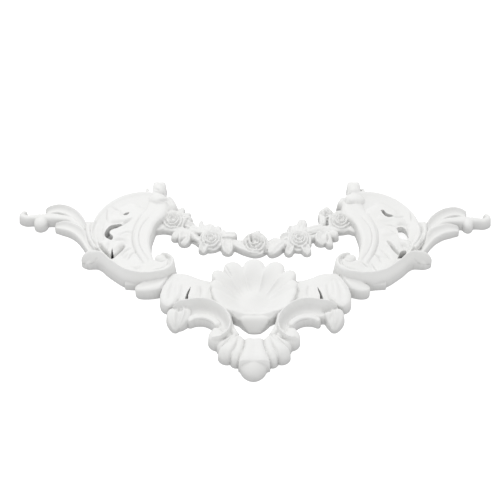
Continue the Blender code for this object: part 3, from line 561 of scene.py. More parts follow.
def add_tails(forms):
    """The leafy tail beyond each wing, which ends in a small hook."""
    for forms.side in (-1, 1):
        forms.ribbon([
            (207, 72, 4, 15), (219, 102, 5, 16), (228, 123, 5.5, 17.5), (239, 140, 6.5, 18.5),
            (252, 151, 7, 18.5), (266, 155, 6.5, 18), (275, 153, 5.5, 17.3), (282, 149.5, 3.5, 16),
        ], TRAY, end=4)
        forms.ribbon([
            (206, 66, 4, 15), (215, 82, 5, 15), (222.5, 97, 6, 15.5), (231, 110, 7, 16), (242, 119, 7, 16.5),
            (255, 124, 6.5, 16), (267, 125, 3, 13),
        ], TRAY, end=3)
        forms.ribbon([
            (222, 104, 3.5, 14), (233, 122, 4, 14.5), (247, 135, 5, 15), (264, 140, 6.5, 15),
            (282, 141, 7, 15), (294, 139.5, 5.5, 14.5),
        ])
        forms.dome(*BALL_PLACE[forms.side], 9.2, 10, 15.5, edge=0.5)
        forms.ribbon([
            (286, 142, 6.5, 14.5), (298, 140.5, 5.2, 14.5), (307, 140, 5, 14.5), (313, 144, 4.5, 15),
            (310.5, 148.5, 3.8, 15.5), (306, 147.5, 2.6, 15),
        ], PAD, start=2)
    forms.side = 0


# Roses: x, y, radius, height, turn
ROSES = (
    (-109, 134, 16, 18, 20), (-57, 99.5, 15.5, 17, 60), (2, 92, 17, 17.5, 10), (60, 99, 15.5, 17, 100),
    (117, 134, 16, 18, 40), (98, 147, 10.5, 15, 0), (-89, 137, 7, 12.5, 0),
)
GARLAND_STEM = [
    (-136, 125, 5, 8), (-112, 125, 7, 9), (-90, 116, 7, 9), (-74, 104, 6, 8.5), (-58, 98, 9, 9),
    (-34, 96, 8, 9), (0, 92, 10, 9), (30, 95, 8, 9), (58, 99, 9, 9), (78, 110, 6, 9), (92, 120, 7, 9),
    (114, 125, 8, 9), (138, 126, 5, 8),
]
GARLAND_LEAVES = (
    ([(-118, 128, 6, 11), (-126, 124, 5.5, 10), (-133, 120, 3, 9)], PAD),
    ([(-122, 174, 9, 24), (-114, 162, 9, 21), (-108, 150, 8, 17)], PAD),
    ([(126, 172, 8, 23), (118, 158, 8, 19)], PAD),
    ([(-92, 116, 7, 11), (-92, 105, 8.5, 12), (-92.5, 93, 6.5, 8)], HOLLOW),
    ([(-95, 118, 5, 11), (-103, 111, 6, 11), (-108, 104, 4.5, 8)], PAD),
    ([(-84, 114, 3.5, 11), (-77, 105, 3.8, 10), (-70, 95, 3.5, 9)], PAD),
    ([(-92, 130, 6, 11), (-85, 128, 6, 11), (-78, 122, 4.5, 9)], HOLLOW),
    ([(-88, 124, 6, 10.5), (-76, 120.5, 7, 10.5), (-64, 116, 6, 10.5)], PAD),
    ([(-103, 146, 8, 12), (-99, 156, 5.5, 11), (-96, 164, 3, 10)], PAD),
    ([(-96, 144, 5, 12), (-90, 149, 4.5, 11), (-86, 153, 2.5, 10)], PAD),
    ([(-60, 108, 9, 11), (-60, 121, 9, 11), (-58, 133, 7.5, 10)], PAD),
    ([(-66, 116, 5, 11.5), (-70, 128, 4, 11.5), (-71, 139, 2.4, 10)], RIDGE),
    ([(-52, 110, 6, 11), (-49, 120, 5.5, 10.5), (-46, 128, 4, 10)], PAD),
    ([(-46, 106, 5, 10), (-42, 114, 4.5, 10), (-39, 121, 3, 9)], PAD),
    ([(-63, 96, 6, 11), (-66.5, 88, 6.5, 10.5), (-66.5, 79.5, 4.5, 8)], HOLLOW),
    ([(-34, 102, 6, 11), (-35, 89, 8, 11.5), (-33, 77, 6, 8.5)], HOLLOW),
    ([(-43, 108, 5.5, 12), (-32, 109, 6, 12), (-22, 108, 5.5, 12)], FLAT),
    ([(-30, 96, 4, 11), (-22, 90, 4, 11), (-15, 84, 3.5, 10)], PAD),
    ([(-8, 104, 6, 11), (2, 112, 6, 10.5), (8, 120, 3, 9.5)], RIDGE),
    ([(41, 97, 4, 12), (33, 91, 8, 13), (26, 83, 8, 12), (20.5, 75, 4, 9)], RIDGE),
    ([(-25, 98, 4, 11), (-17, 90, 6.5, 12.5), (-5, 83, 6.5, 12), (9, 80, 5, 10)], RIDGE),
    ([(24, 100, 7, 11.5), (34, 94, 6.5, 11), (40, 86, 4, 9.5)], PAD),
    ([(50, 106, 5, 11.5), (42, 107, 6.5, 11.5), (36, 102, 4.5, 10)], HOLLOW),
    ([(50, 92, 5, 10.5), (47, 85, 6, 10), (45, 75.5, 4.5, 8)], HOLLOW),
    ([(65, 92, 5, 10.5), (69, 85, 6.5, 10), (70.5, 76, 4.5, 8)], HOLLOW),
    ([(54, 106, 8, 11), (52, 118, 8, 11.5), (54, 129, 5.5, 10)], HOLLOW),
    ([(59, 112, 13, 11), (61, 121, 12, 11.5), (64, 131, 8.5, 11)], PAD),
    ([(64, 122, 8, 12.5), (65, 132, 7, 13), (65, 139.5, 5, 12)], PAD),
    ([(20, 101, 8, 12), (31, 95, 9.5, 12.5), (41, 93, 7, 11.5)], RIDGE),
    ([(68, 117, 7, 11), (81, 122, 7, 11.5), (95, 126, 7, 11)], PAD),
    ([(96, 116, 5, 11), (89, 106, 8, 12), (91, 94, 7, 9)], HOLLOW),
    ([(98, 116, 4, 12), (99, 103, 4.8, 11.5), (101.5, 90, 5, 8.5)], PAD),
    ([(100, 116, 5, 12), (107, 112, 5.5, 13), (107.5, 104, 5, 11)], PAD),
    ([(92, 128, 5, 11), (93, 138, 5, 12), (91.5, 150, 3.5, 11)], PAD),
    ([(98, 148, 6, 11), (99, 158, 5.5, 11), (100, 166, 3.5, 10)], PAD),
    ([(126, 128, 6, 10.5), (132, 122, 4.5, 10), (138, 118, 3, 9)], RIDGE),
)


# Veins: place across a leaf, depth, width as a share of its own
LEAF_VEINS = ((0, 1.0, 0.12), (-0.5, 0.6, 0.1), (0.5, 0.6, 0.1))
HEAD_PLACE = {-1: 129.5, 1: 133.5}  # where the bud above each wing stands


def add_garland(forms):
    """The swag of roses that hangs from wing to wing."""
    forms.ribbon(GARLAND_STEM, PAD, start=2, end=2)
    for leaf, profile in GARLAND_LEAVES:
        forms.ribbon(leaf, profile, grooves=LEAF_VEINS)
    for x, y, radius, height, turn in ROSES:
        forms.rose(x, y, radius, height, turn)
    for forms.side in (-1, 1):
        head = HEAD_PLACE[forms.side]
        forms.dome(head, 166, 13, 10, 27, turn=-8 * forms.side, edge=0.72)
        forms.ribbon([
            (head, 174, 9.5, 26), (head + 0.5, 187, 9, 27.5), (head + 1, 196, 8.6, 27),
        ], PAD, end=5)
        forms.ribbon([
            (head + 1, 183, 6, 16), (head + 1, 198, 9, 16.5), (head + 1, 209, 8.6, 16),
        ], FLAT, start=2, end=2)
        forms.ribbon([(140, 184, 3, 15), (147, 192, 2.6, 15), (147, 199, 2.2, 14)])
    forms.side = 0


def all_forms():
    """Every closed form that the casting is fused from."""
    forms = Forms()
    add_shell(forms)
    add_palmette(forms)
    add_lower_scrolls(forms)
    add_arm_leaves(forms)
    add_big_scrolls(forms)
    add_wings(forms)
    add_tails(forms)
    add_garland(forms)
    return forms


# How far the cutters reach past the casting: sideways, below its back and above its front
BEYOND = 400
DEEPER = 20


def link(name, data):
    """An object in the scene with this mesh, lamp or camera."""
    obj = bpy.data.objects.new(name, data)
    bpy.context.scene.collection.objects.link(obj)
    return obj


def add_object(name, points, faces):
    """A mesh object in the scene, from points in metres."""
    mesh = bpy.data.meshes.new(name)
    mesh.from_pydata(points, [], faces)
    mesh.update()
    return link(name, mesh)


def add_prisms(name, cuts):
    """Upright solids, each given as its heights from and to and its counter-clockwise outline."""
    points, faces = [], []
    for low, high, outline in cuts:
        count, start = len(outline), len(points)
        points += [(x * MM, y * MM, z * MM) for z in (low, high) for x, y in outline]
        faces.append(tuple(start + i for i in range(count))[::-1])
        faces.append(tuple(start + count + i for i in range(count)))
        for i in range(count):
            j = (i + 1) % count
            faces.append((start + i, start + j, start + count + j, start + count + i))
    return add_object(name, points, faces)


def cut_outlines():
    """Each cut as its heights from and to, and its outline, which runs counter-clockwise."""
    cuts = []
    for where, low, high, outline in CUTS:
        for side in (where,) if where else (-1, 1):
            flat = placed(outline, -1) if side < 0 else placed(outline, 1 if not where else 0)
            closed = np.vstack([flat, flat[:1]])
            flat = curve_through(closed, np.linspace(0, length_of(closed), 6 * len(flat), endpoint=False))
            area = sum(np.cross(flat[i - 1], flat[i]) for i in range(len(flat)))
            cuts.append((low, high, flat if area > 0 else flat[::-1]))
    return cuts


def triangles_of(obj):
    """Number of triangles of the object with its modifiers on."""
    evaluated = obj.evaluated_get(bpy.context.evaluated_depsgraph_get())
    mesh = evaluated.to_mesh()
    count = sum(len(polygon.vertices) - 2 for polygon in mesh.polygons)
    evaluated.to_mesh_clear()
    return count


def settle(obj):
    """Puts what the object's modifiers make into its mesh."""
    evaluated = obj.evaluated_get(bpy.context.evaluated_depsgraph_get())
    mesh = bpy.data.meshes.new_from_object(evaluated)
    obj.modifiers.clear()
    old, obj.data = obj.data, mesh
    bpy.data.meshes.remove(old)


# Fine lines in the carving: side (0 for both halves, None as given), depth (ribs below zero), width, points
LINES = (
    # wing: folds, the line round the smooth band, creases along the big scroll and between leaves
    (-1, 1.3, 1.1, ((197, 147), (197, 136), (195, 125))),
    (1, 1.3, 1.1, ((206, 141), (206.5, 135), (206, 128))),
    (0, 1.3, 0.9, ((151, 138), (157.5, 121), (160.3, 106), (159.3, 86), (152.5, 65), (143, 49))),
    (0, 1.3, 0.9, ((141, 131), (147.5, 119), (151, 105), (150.5, 85), (144, 67), (136.5, 54))),
    (-1, 3.5, 2.2, ((211, 123), (213, 112), (212, 101), (210, 90), (205, 77))),
    (1, 2.6, 2.6, ((213, 124), (217, 118), (218.5, 108), (217, 94), (213, 82))),
    (1, 2.5, 1.5, ((215, 91), (213, 82), (208, 75))),
    (-1, 8, 1.9, ((203, 85), (199, 78), (193.5, 71), (188.5, 65), (185, 61))),
    (-1, 8, 1.8, ((182.5, 61), (178, 67), (174, 73), (170.5, 80))),
    (-1, 2.2, 3.5, ((180, 68), (175, 76), (168, 86))),
    (-1, 1.6, 1.8, ((168, 57), (165, 62), (164, 68))),
    (-1, 1.3, 2.2, ((156, 42), (151, 39.5), (147, 41))),
    (-1, 3, 3.4, ((192, 124), (184, 124), (176, 126))),
    (-1, 3, 2, ((163, 131), (168, 127), (173, 123), (178, 118))),
    (-1, 2.5, 3, ((168, 90), (176, 92), (184, 90))),
    (1, 8, 1.8, ((172, 88), (176.5, 80), (180, 73), (184, 67), (188, 63))),
    (1, 3.5, 3.5, ((191, 84), (194, 78), (196, 72))),
    (1, 2.5, 3, ((188, 117), (193, 121), (201, 119))),
    (1, 1.1, 1.1, ((175, 108), (180, 106), (184, 101))),
    (1, 1.1, 1.1, ((172, 119), (179, 118), (186, 114))),
    (1, 1.6, 1, ((135, 48), (139, 43), (142, 40))),
    (1, 1.6, 1, ((148, 48), (151, 40), (154, 34))),
    # big scroll: the hollow in its flared end and the creases along its wall
    (0, 3.5, 3.6, ((222, 56), (214, 58), (206, 57))),
    (0, 1.2, 1.4, ((226, 56), (222, 51), (214, 49))),
    # volute: the spiral round its eye
    (0, 1.3, 1, ((129, 33), (118, 34.5), (111, 41), (110, 49), (114.5, 54.5))),
    (0, 1.1, 0.9, ((112, 50), (116, 46.5), (122, 46.5), (127, 50.5))),
    # wing: soft folds of the leafy field
    (-1, 1.8, 1.6, ((172, 62), (168, 70), (161, 76))),
    (-1, 1.6, 1.6, ((163, 54), (160, 62), (154, 68))),
    (-1, 1.4, 1.6, ((176, 100), (170, 104), (162, 104))),
    (-1, 1.3, 1.6, ((190, 152), (181, 146), (176, 137))),
    (1, 1.8, 1.6, ((172, 56), (168, 64), (162, 71))),
    (1, 1.6, 1.6, ((160, 50), (158, 58), (152, 66))),
    (1, 1.4, 1.6, ((196, 136), (188, 134), (180, 136))),
    # collar between a wing and its tail
    (0, 1.4, 1, ((218, 128), (217.5, 112), (212.5, 93), (204, 78))),
    (0, 1.2, 0.9, ((226, 131), (224, 112), (218, 92), (209, 76))),
    # arms: slanting cuts between the leaves
    (0, 1.6, 1.5, ((68, 7), (67, 0), (67, -10))),
    (0, 3, 1.3, ((107, 27), (112, 16), (117, 6), (119, -3))),
    (0, 1.4, 1.8, ((91, 8), (92, -4), (94, -15))),
    (0, 1.2, 2.2, ((103, 24), (110, 12), (116, -2))),
    (0, 1.2, 2.2, ((101, 22), (105, 6), (107, -12))),
    (0, 1.1, 2.2, ((98, 20), (98.5, 4), (98.5, -10))),
    # lower scrolls and the leaves below them
    (0, 4, 2.6, ((87, -30), (93, -31), (98, -30))),
    (0, -1.2, 1.6, ((101, -33), (101, -42), (98, -52))),
    (1, 1.4, 1.6, ((95, -36), (93, -43), (91, -49))),
    (0, 1.3, 1, ((44, -61), (52, -51), (63, -45), (76, -46))),
    # palmette: a crease beside the middle tongue and along each leaf
    (0, 2.2, 1.3, ((11.5, -78), (12, -92), (15, -106), (17, -114))),
    (0, 1.6, 1.1, ((19, -78), (23, -92), (29, -104), (30, -112))),
    (0, 1.5, 1.1, ((26, -74), (35, -86), (46, -97))),
    (0, 1.2, 1, ((27, -36), (23, -50), (20, -63), (17, -74))),
    # shell: a double crease between the lobes at its upper left
    (-1, 1.2, 0.9, ((28, 20), (35, 32), (39, 38))),
    (-1, 1, 0.8, ((30, 17), (38, 27), (44, 33))),
    # heads of the wings: the gaps between their petals
    (None, 2.4, 1.3, ((-127, 159.5), (-122.5, 160.5), (-118, 163.5))),
    (None, 1.5, 1.2, ((-135, 183), (-132, 181), (-128, 179))),
    (None, 1.6, 1, ((-124, 176), (-121, 172), (-118.5, 168))),
    (None, 2.4, 1.5, ((123.5, 163), (126, 159), (131, 157.5), (136, 157.5))),
    (None, 1.8, 1.3, ((127.5, 178), (127.5, 176), (127, 174))),
    # swag: the dark gaps between its leaves
    (None, 3.5, 1.1, ((-49, 78), (-46, 84), (-42, 90))),
    (None, 3.5, 1.1, ((-26, 84), (-25, 79), (-24, 74))),
    (None, 3.5, 1.1, ((13, 76), (14, 80), (16, 85))),
    (None, 3.5, 1.1, ((40, 80), (41, 85), (43, 91))),
    (None, 3.5, 1.2, ((74, 110), (80, 112), (88, 114))),
    (None, 3.5, 1.2, ((-84, 104), (-79, 100), (-73, 96))),
    (None, 3, 1.1, ((79, 95), (82, 91), (84, 87))),
    (None, 3, 1.1, ((-99, 92), (-97, 98), (-92, 105))),
    (None, 3, 1.1, ((97, 108), (98, 103), (97, 97))),
    (None, 2.5, 1, ((-4, 101), (-3.5, 96), (-1, 91))),
    # middle rose: its bud and the petals stacked beside it
    (None, 3, 1.2, ((-4, 106), (-3.5, 98), (-1.5, 89), (2, 83))),
    (None, 1.5, 0.9, ((-8, 106), (-8.5, 97), (-6, 86), (0, 79))),
    (None, 1.5, 0.9, ((-12.5, 104), (-13, 95), (-10, 84), (-2, 77))),
    (None, 1.6, 0.9, ((1, 99), (6, 92), (13, 92), (17, 99))),
)


ROUGH_ZONE = (116, 74)  # the garland's rough surface: how far out it reaches, and the y where it starts
ROUGHNESS_DEPTH = 0.6
ROUGHNESS_SIZE = 4.0


def engrave(casting):
    """Sinks or raises the upward surface of the casting along the fine lines, and roughens the garland."""
    mesh = casting.data
    points = np.empty(len(mesh.vertices) * 3)
    normals = np.empty(len(mesh.vertices) * 3)
    mesh.vertices.foreach_get("co", points)
    mesh.vertices.foreach_get("normal", normals)
    points, normals = points.reshape(-1, 3), normals.reshape(-1, 3)
    sink = np.zeros(len(points))
    for where, depth, width, path in LINES:
        sides = (0,) if where is None else (where,) if where else (-1, 1)
        for side in sides:
            line = placed(path, side)
            spots = curve_through(line, np.linspace(0, length_of(line), LINE_SPOTS)) * MM
            reach = 3 * width * MM
            low, high = spots.min(axis=0) - reach, spots.max(axis=0) + reach
            near = np.nonzero(
                (points[:, :2] > low).all(axis=1) & (points[:, :2] < high).all(axis=1)
                & (normals[:, 2] > UPWARD)
            )[0]
            gaps = np.linalg.norm(points[near, None, :2] - spots[None], axis=2)
            closest = gaps.argmin(axis=1)
            along = LINE_START + (1 - 2 * LINE_START) * closest / (LINE_SPOTS - 1)
            fade = np.sin(math.pi * along) ** LINE_FADE
            sink[near] += depth * MM * fade * np.exp(-((gaps.min(axis=1) / (width * MM)) ** 2))
    rough = np.nonzero((np.abs(points[:, 0]) < ROUGH_ZONE[0] * MM) & (points[:, 1] > ROUGH_ZONE[1] * MM))[0]
    for i in rough:
        sink[i] += ROUGHNESS_DEPTH * MM * (noise.noise(Vector(points[i]) / (ROUGHNESS_SIZE * MM)) - 0.1)
    points[:, 2] -= sink
    mesh.vertices.foreach_set("co", points.ravel())
    mesh.update()


SHARP_ANGLE = math.radians(60)  # edges sharper than this are shaded sharp


def carve(voxel, smoothing, triangles):
    """The fused, softened, engraved, trimmed and pierced casting."""
    forms = all_forms()
    casting = add_object("plaster_casting", forms.points, forms.faces)
    fuse = casting.modifiers.new("fuse", "REMESH")
    fuse.mode = "VOXEL"
    fuse.voxel_size = voxel
    soften = casting.modifiers.new("soften", "SMOOTH")
    soften.factor = 0.5
    soften.iterations = smoothing
    settle(casting)
    engrave(casting)

    block = (-DEEPER, 0, [(-BEYOND, -BEYOND), (BEYOND, -BEYOND), (BEYOND, BEYOND), (-BEYOND, BEYOND)])
    cutters = [add_prisms("back_block", [block])]
    cutters += [add_prisms("hole_pin", [cut]) for cut in cut_outlines()]
    for cutter in cutters:
        cut = casting.modifiers.new(cutter.name, "BOOLEAN")
        cut.operation = "DIFFERENCE"
        cut.solver = "MANIFOLD"
        cut.object = cutter
        settle(casting)
        bpy.data.objects.remove(cutter)
    reduce = casting.modifiers.new("reduce", "DECIMATE")
    reduce.ratio = min(1.0, triangles / triangles_of(casting))
    settle(casting)
    for polygon in casting.data.polygons:
        polygon.use_smooth = True
    casting.data.set_sharp_from_angle(angle=SHARP_ANGLE)
    return casting


class Value:
    """A number that varies over a surface, for writing shader maths as expressions."""

    def __init__(self, nodes, socket):
        self.nodes = nodes
        self.socket = socket

    def _math(self, operation, first, second):
        node = self.nodes.add("ShaderNodeMath", {"operation": operation}, {0: first, 1: second})
        return Value(self.nodes, node.outputs[0])

    def __add__(self, other):
        return self._math("ADD", self, other)

    def __sub__(self, other):
        return self._math("SUBTRACT", self, other)

    def __rsub__(self, other):
        return self._math("SUBTRACT", other, self)

    def __mul__(self, other):
        return self._math("MULTIPLY", self, other)

    def __truediv__(self, other):
        return self._math("DIVIDE", self, other)

    def clipped(self):
        node = self.nodes.add("ShaderNodeClamp", {}, {"Value": self})
        return Value(self.nodes, node.outputs[0])

    __radd__ = __add__
    __rmul__ = __mul__


class Nodes:
    """The nodes of one material."""

    def __init__(self, name):
        self.material = bpy.data.materials.new(name)
        self.material.use_nodes = True
        self.tree = self.material.node_tree
        self.tree.nodes.clear()

    def add(self, kind, settings=None, sockets=None):
        """A node with its settings, and the values or links of its sockets."""
        node = self.tree.nodes.new(kind)
        for key, value in (settings or {}).items():
            setattr(node, key, value)
        for key, value in (sockets or {}).items():
            if isinstance(value, Value):
                self.tree.links.new(value.socket, node.inputs[key])
            elif isinstance(value, bpy.types.NodeSocket):
                self.tree.links.new(value, node.inputs[key])
            else:
                node.inputs[key].default_value = value
        return node

    def noise(self, place, scale, detail=4.0, roughness=0.5):
        """A cloudy value between 0 and 1."""
        sockets = {"Vector": place, "Scale": scale, "Detail": detail, "Roughness": roughness}
        node = self.add("ShaderNodeTexNoise", {}, sockets)
        return Value(self, node.outputs["Fac"])

    def upward(self, vector):
        """The Z of a vector."""
        return Value(self, self.add("ShaderNodeSeparateXYZ", {}, {"Vector": vector}).outputs["Z"])

    def mix(self, factor, first, second):
        """A colour between two colours."""
        node = self.add("ShaderNodeMix", {"data_type": "RGBA"}, {0: factor, 6: first, 7: second})
        return node.outputs[2]

    def bump(self, height, distance, normal=None):
        """A surface normal that stands up by the distance where the height is 1."""
        sockets = {"Height": height, "Distance": distance, "Strength": 1.0}
        if normal:
            sockets["Normal"] = normal
        return self.add("ShaderNodeBump", {}, sockets).outputs["Normal"]

    def surface(self, sockets):
        """The one shader of the material, from the values or links of its sockets."""
        shader = self.add("ShaderNodeBsdfPrincipled", {}, sockets)
        output = self.add("ShaderNodeOutputMaterial")
        self.tree.links.new(shader.outputs[0], output.inputs[0])
        return self.material


# The plaster's finish, with painted shade and a painted highlight
UPWARD_UNSHADED = 1.15  # how fast the painted shade low on the sides gives way as a surface turns upwards
PIT_SHADE = 0.7  # share of the edge contrast that darkens the hollows as painted shade
PAINTED_SHADE_LEVEL = 0.45  # brightness of full painted shade against the plaster
EDGE_HIGHLIGHT = 0.5  # how much of the painted highlight on sharp edges shows
# lighter colour painted on sharp edges as a highlight
EDGE_HIGHLIGHT_COLOUR = (0.92, 0.92, 0.915, 1)
PATCH_TINT = (0.965, 0.965, 0.955)  # of the darker patches against the plaster


def white_casting(look):
    """White moulded plaster: satin, slightly wavy and grainy, with painted shade in its hollows and low on
    its sides, and a painted highlight on its sharp edges.
    """
    nodes = Nodes("white_casting")
    place = nodes.add("ShaderNodeTexCoord").outputs["Object"]
    cloud = nodes.noise(place, 22, detail=3)
    speck = nodes.noise(place, 900, detail=2)
    wave = nodes.noise(place, 110, detail=2)
    grain = nodes.noise(place, 1500, detail=3, roughness=0.7)
    height = nodes.upward(place)
    geometry = nodes.add("ShaderNodeNewGeometry")
    facing = nodes.upward(geometry.outputs["Normal"])
    # painted shade low on the steep sides, darkest at the foot, standing in for the shadow near the floor
    foot = (1 - height / look.shade_height).clipped()
    low = foot * foot * (1 - facing * UPWARD_UNSHADED).clipped()
    hollow = Value(nodes, geometry.outputs["Pointiness"])
    # painted highlight on sharp edges, where the surface curves outwards
    edges = ((hollow - 0.5) * look.edge_contrast).clipped()
    # painted shade in the hollows, where the surface curves inwards
    pit_shade = ((0.5 - hollow) * look.edge_contrast * PIT_SHADE).clipped()
    # all the painted shade: in the hollows and low on the sides
    painted_shade = (pit_shade + low * look.low_shade).clipped()
    shade = ((cloud - 0.35) * 1.6 + (speck - 0.5) * 0.4).clipped()
    darker = (*[part * tint for part, tint in zip(look.colour, PATCH_TINT)], 1)
    plain = nodes.mix(shade, darker, (*look.colour, 1))
    # the plaster darkened by the painted shade
    shaded_colour = nodes.mix(painted_shade, plain, (*[part * PAINTED_SHADE_LEVEL for part in look.colour], 1))
    # painted highlight laid on the sharp edges
    colour = nodes.mix(edges * EDGE_HIGHLIGHT, shaded_colour, EDGE_HIGHLIGHT_COLOUR)
    soft = nodes.bump(wave, look.waviness)
    fine = nodes.bump(grain, look.grain, soft)
    return nodes.surface({
        "Base Color": colour,
        "Roughness": (cloud - 0.5) * 0.16 + (speck - 0.5) * 0.08 + look.roughness,
        "Specular IOR Level": look.shine,
        "Normal": fine,
    })


def pale_floor(look):
    """Matt near-white board with a faint mottle."""
    nodes = Nodes("pale_floor")
    place = nodes.add("ShaderNodeTexCoord").outputs["Object"]
    mottle = nodes.noise(place, 3, detail=4)
    darker = (*[part * 0.985 for part in look.floor_colour], 1)
    return nodes.surface({
        "Base Color": nodes.mix(mottle, darker, (*look.floor_colour, 1)),
        "Roughness": mottle * 0.1 + 0.8,
        "Specular IOR Level": 0.2,
        "Emission Color": nodes.mix(mottle, darker, (*look.floor_colour, 1)),
        "Emission Strength": look.floor_glow,
    })


def studio_room(look):
    """White room whose light changes evenly from low down to higher up."""
    world = bpy.data.worlds.new("studio_room")
    world.use_nodes = True
    nodes, links = world.node_tree.nodes, world.node_tree.links
    split = nodes.new("ShaderNodeSeparateXYZ")
    links.new(nodes.new("ShaderNodeTexCoord").outputs["Generated"], split.inputs[0])
    fade = nodes.new("ShaderNodeMapRange")
    links.new(split.outputs["Z"], fade.inputs["Value"])
    ends = {"From Min": -0.15, "From Max": 0.35, "To Min": look.low_fill, "To Max": look.fill}
    for name, value in ends.items():
        fade.inputs[name].default_value = value
    background = nodes["Background"]
    background.inputs["Color"].default_value = (1, 1, 1, 1)
    links.new(fade.outputs["Result"], background.inputs["Strength"])
    return world


class CastingSettings(bpy.types.PropertyGroup):
    voxel: bpy.props.FloatProperty(
        name="Fusing grid", description="Size of the grid that the carved forms are fused on",
        default=0.0008, min=0.0005, max=0.003, precision=5, unit="LENGTH",
    )
    smoothing: bpy.props.IntProperty(
        name="Softening", description="How many times the fused skin is softened", default=2, min=0, max=20,
    )
    triangles: bpy.props.IntProperty(
        name="Triangles", description="Most triangles of the casting", default=180000, min=20000, max=195000,
    )
    colour: bpy.props.FloatVectorProperty(
        name="Colour", description="White of the casting",
        default=(0.875, 0.875, 0.87), min=0, max=1, subtype="COLOR",
    )
    roughness: bpy.props.FloatProperty(
        name="Roughness", description="Dullness of the casting", default=0.5, min=0, max=1, subtype="FACTOR",
    )
    shine: bpy.props.FloatProperty(
        name="Shine", description="Strength of its reflections", default=0.4, min=0, max=1, subtype="FACTOR",
    )
    edge_contrast: bpy.props.FloatProperty(
        name="Edge contrast", description="How fast hollows get darker", default=6.0, min=0, max=40,
    )
    # how far up the sides the painted shade reaches
    shade_height: bpy.props.FloatProperty(
        name="Shade height", description="How far up its sides the casting is duller",
        default=0.024, min=0.001, max=0.1, unit="LENGTH",
    )
    # how dark the painted shade at the foot of the sides is
    low_shade: bpy.props.FloatProperty(
        name="Low shade", description="How dull the foot of its sides is", default=1.0, min=0, max=1,
    )
    waviness: bpy.props.FloatProperty(
        name="Waviness", description="Depth of the soft unevenness of the cast skin",
        default=0.00025, min=0, max=0.002, precision=5, unit="LENGTH",
    )
    grain: bpy.props.FloatProperty(
        name="Grain", description="Depth of the fine grain",
        default=0.00003, min=0, max=0.0005, precision=6, unit="LENGTH",
    )


class StudioSettings(bpy.types.PropertyGroup):
    floor_colour: bpy.props.FloatVectorProperty(
        name="Floor", description="Colour of the floor",
        default=(0.93, 0.93, 0.93), min=0, max=1, subtype="COLOR",
    )
    floor_glow: bpy.props.FloatProperty(
        name="Floor glow", description="Light that the floor gives", default=0.7, min=0, max=2,
    )
    floor_size: bpy.props.FloatProperty(
        name="Floor size", description="Side of the floor", default=12.0, min=2, max=50, unit="LENGTH",
    )
    key_power: bpy.props.FloatProperty(
        name="Main light", description="Power of the large lamp", default=21.0, min=0, max=500, unit="POWER",
    )
    key_size: bpy.props.FloatProperty(
        name="Lamp size", description="Side of the large lamp", default=1.6, min=0.1, max=6, unit="LENGTH",
    )
    key_place: bpy.props.FloatVectorProperty(
        name="Lamp place", description="Where the large lamp is", default=(-0.5, 1.1, 2.2),
        subtype="TRANSLATION", unit="LENGTH",
    )
    fill: bpy.props.FloatProperty(
        name="Room light", description="Strength of the light from all round", default=0.75, min=0, max=5,
    )
    low_fill: bpy.props.FloatProperty(
        name="Low light", description="Strength of the light near the floor", default=0.96, min=0, max=5,
    )
    camera_place: bpy.props.FloatVectorProperty(
        name="Camera place", description="Where the camera is", default=(-0.0051, -1.0162, 1.1061),
        subtype="TRANSLATION", unit="LENGTH",
    )
    camera_tilt: bpy.props.FloatProperty(
        name="Camera tilt", description="How far the camera is tipped up from straight down",
        default=math.radians(45), min=0, max=math.pi, subtype="ANGLE", unit="ROTATION",
    )
    lens: bpy.props.FloatProperty(
        name="Lens", description="Focal length in mm for a 36 mm sensor", default=85.0, min=10, max=300,
    )


class ORNAMENT_OT_casting(bpy.types.Operator):
    """Carve the casting and give it its white finish"""

    bl_idname = "ornament.casting"
    bl_label = "Carve casting"

    def execute(self, context):
        settings = context.scene.ornament_casting
        casting = carve(settings.voxel, settings.smoothing, settings.triangles)
        casting.data.materials.clear()
        casting.data.materials.append(white_casting(settings))
        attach(casting, "root")
        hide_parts(CASTING)
        return {"FINISHED"}


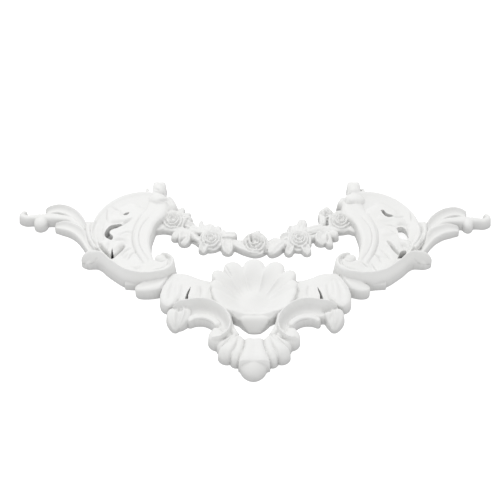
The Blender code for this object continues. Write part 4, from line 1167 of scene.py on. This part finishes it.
class ORNAMENT_OT_studio(bpy.types.Operator):
    """Set up the floor, the lights and the camera"""

    bl_idname = "ornament.studio"
    bl_label = "Set up studio"

    def execute(self, context):
        settings = context.scene.ornament_studio
        half = settings.floor_size / 2
        corners = [(-half, -half, 0), (half, -half, 0), (half, half, 0), (-half, half, 0)]
        floor = add_object("studio_floor", corners, [(0, 1, 2, 3)])
        floor.location.z = CAD_BOX[0][2] - 0.0005
        floor.data.materials.append(pale_floor(settings))
        floor.visible_diffuse = False
        floor.visible_glossy = False

        lamp = bpy.data.lights.new("key_lamp", "AREA")
        lamp.shape = "SQUARE"
        lamp.size = settings.key_size
        lamp.energy = settings.key_power
        key = link("key_lamp", lamp)
        key.location = settings.key_place
        key.rotation_euler = (-Vector(settings.key_place)).to_track_quat("-Z", "Y").to_euler()

        context.scene.world = studio_room(settings)
        context.scene.view_settings.view_transform = "Standard"

        lens = bpy.data.cameras.new("photo_camera")
        lens.lens = settings.lens
        lens.sensor_width = 36
        camera = link("photo_camera", lens)
        camera.location = settings.camera_place
        camera.rotation_euler = (settings.camera_tilt, 0, 0)
        context.scene.camera = camera
        return {"FINISHED"}


class ORNAMENT_PT_panel(bpy.types.Panel):
    bl_label = "Corner ornament"
    bl_idname = "ORNAMENT_PT_panel"
    bl_space_type = "VIEW_3D"
    bl_region_type = "UI"
    bl_category = "Ornament"

    def draw(self, context):
        for operator in ("casting", "studio"):
            group = getattr(context.scene, "ornament_" + operator)
            box = self.layout.box()
            for name in group.bl_rna.properties.keys():
                if name not in ("rna_type", "name"):
                    box.prop(group, name)
            box.operator("ornament." + operator)


CLASSES = (CastingSettings, StudioSettings, ORNAMENT_OT_casting, ORNAMENT_OT_studio, ORNAMENT_PT_panel)


def register():
    for cls in CLASSES:
        bpy.utils.register_class(cls)
    bpy.types.Scene.ornament_casting = bpy.props.PointerProperty(type=CastingSettings)
    bpy.types.Scene.ornament_studio = bpy.props.PointerProperty(type=StudioSettings)


def unregister():
    del bpy.types.Scene.ornament_studio
    del bpy.types.Scene.ornament_casting
    for cls in reversed(CLASSES):
        bpy.utils.unregister_class(cls)


def main():
    register()
    bpy.ops.ornament.casting()
    bpy.ops.ornament.studio()


if __name__ == "__main__":
    main()
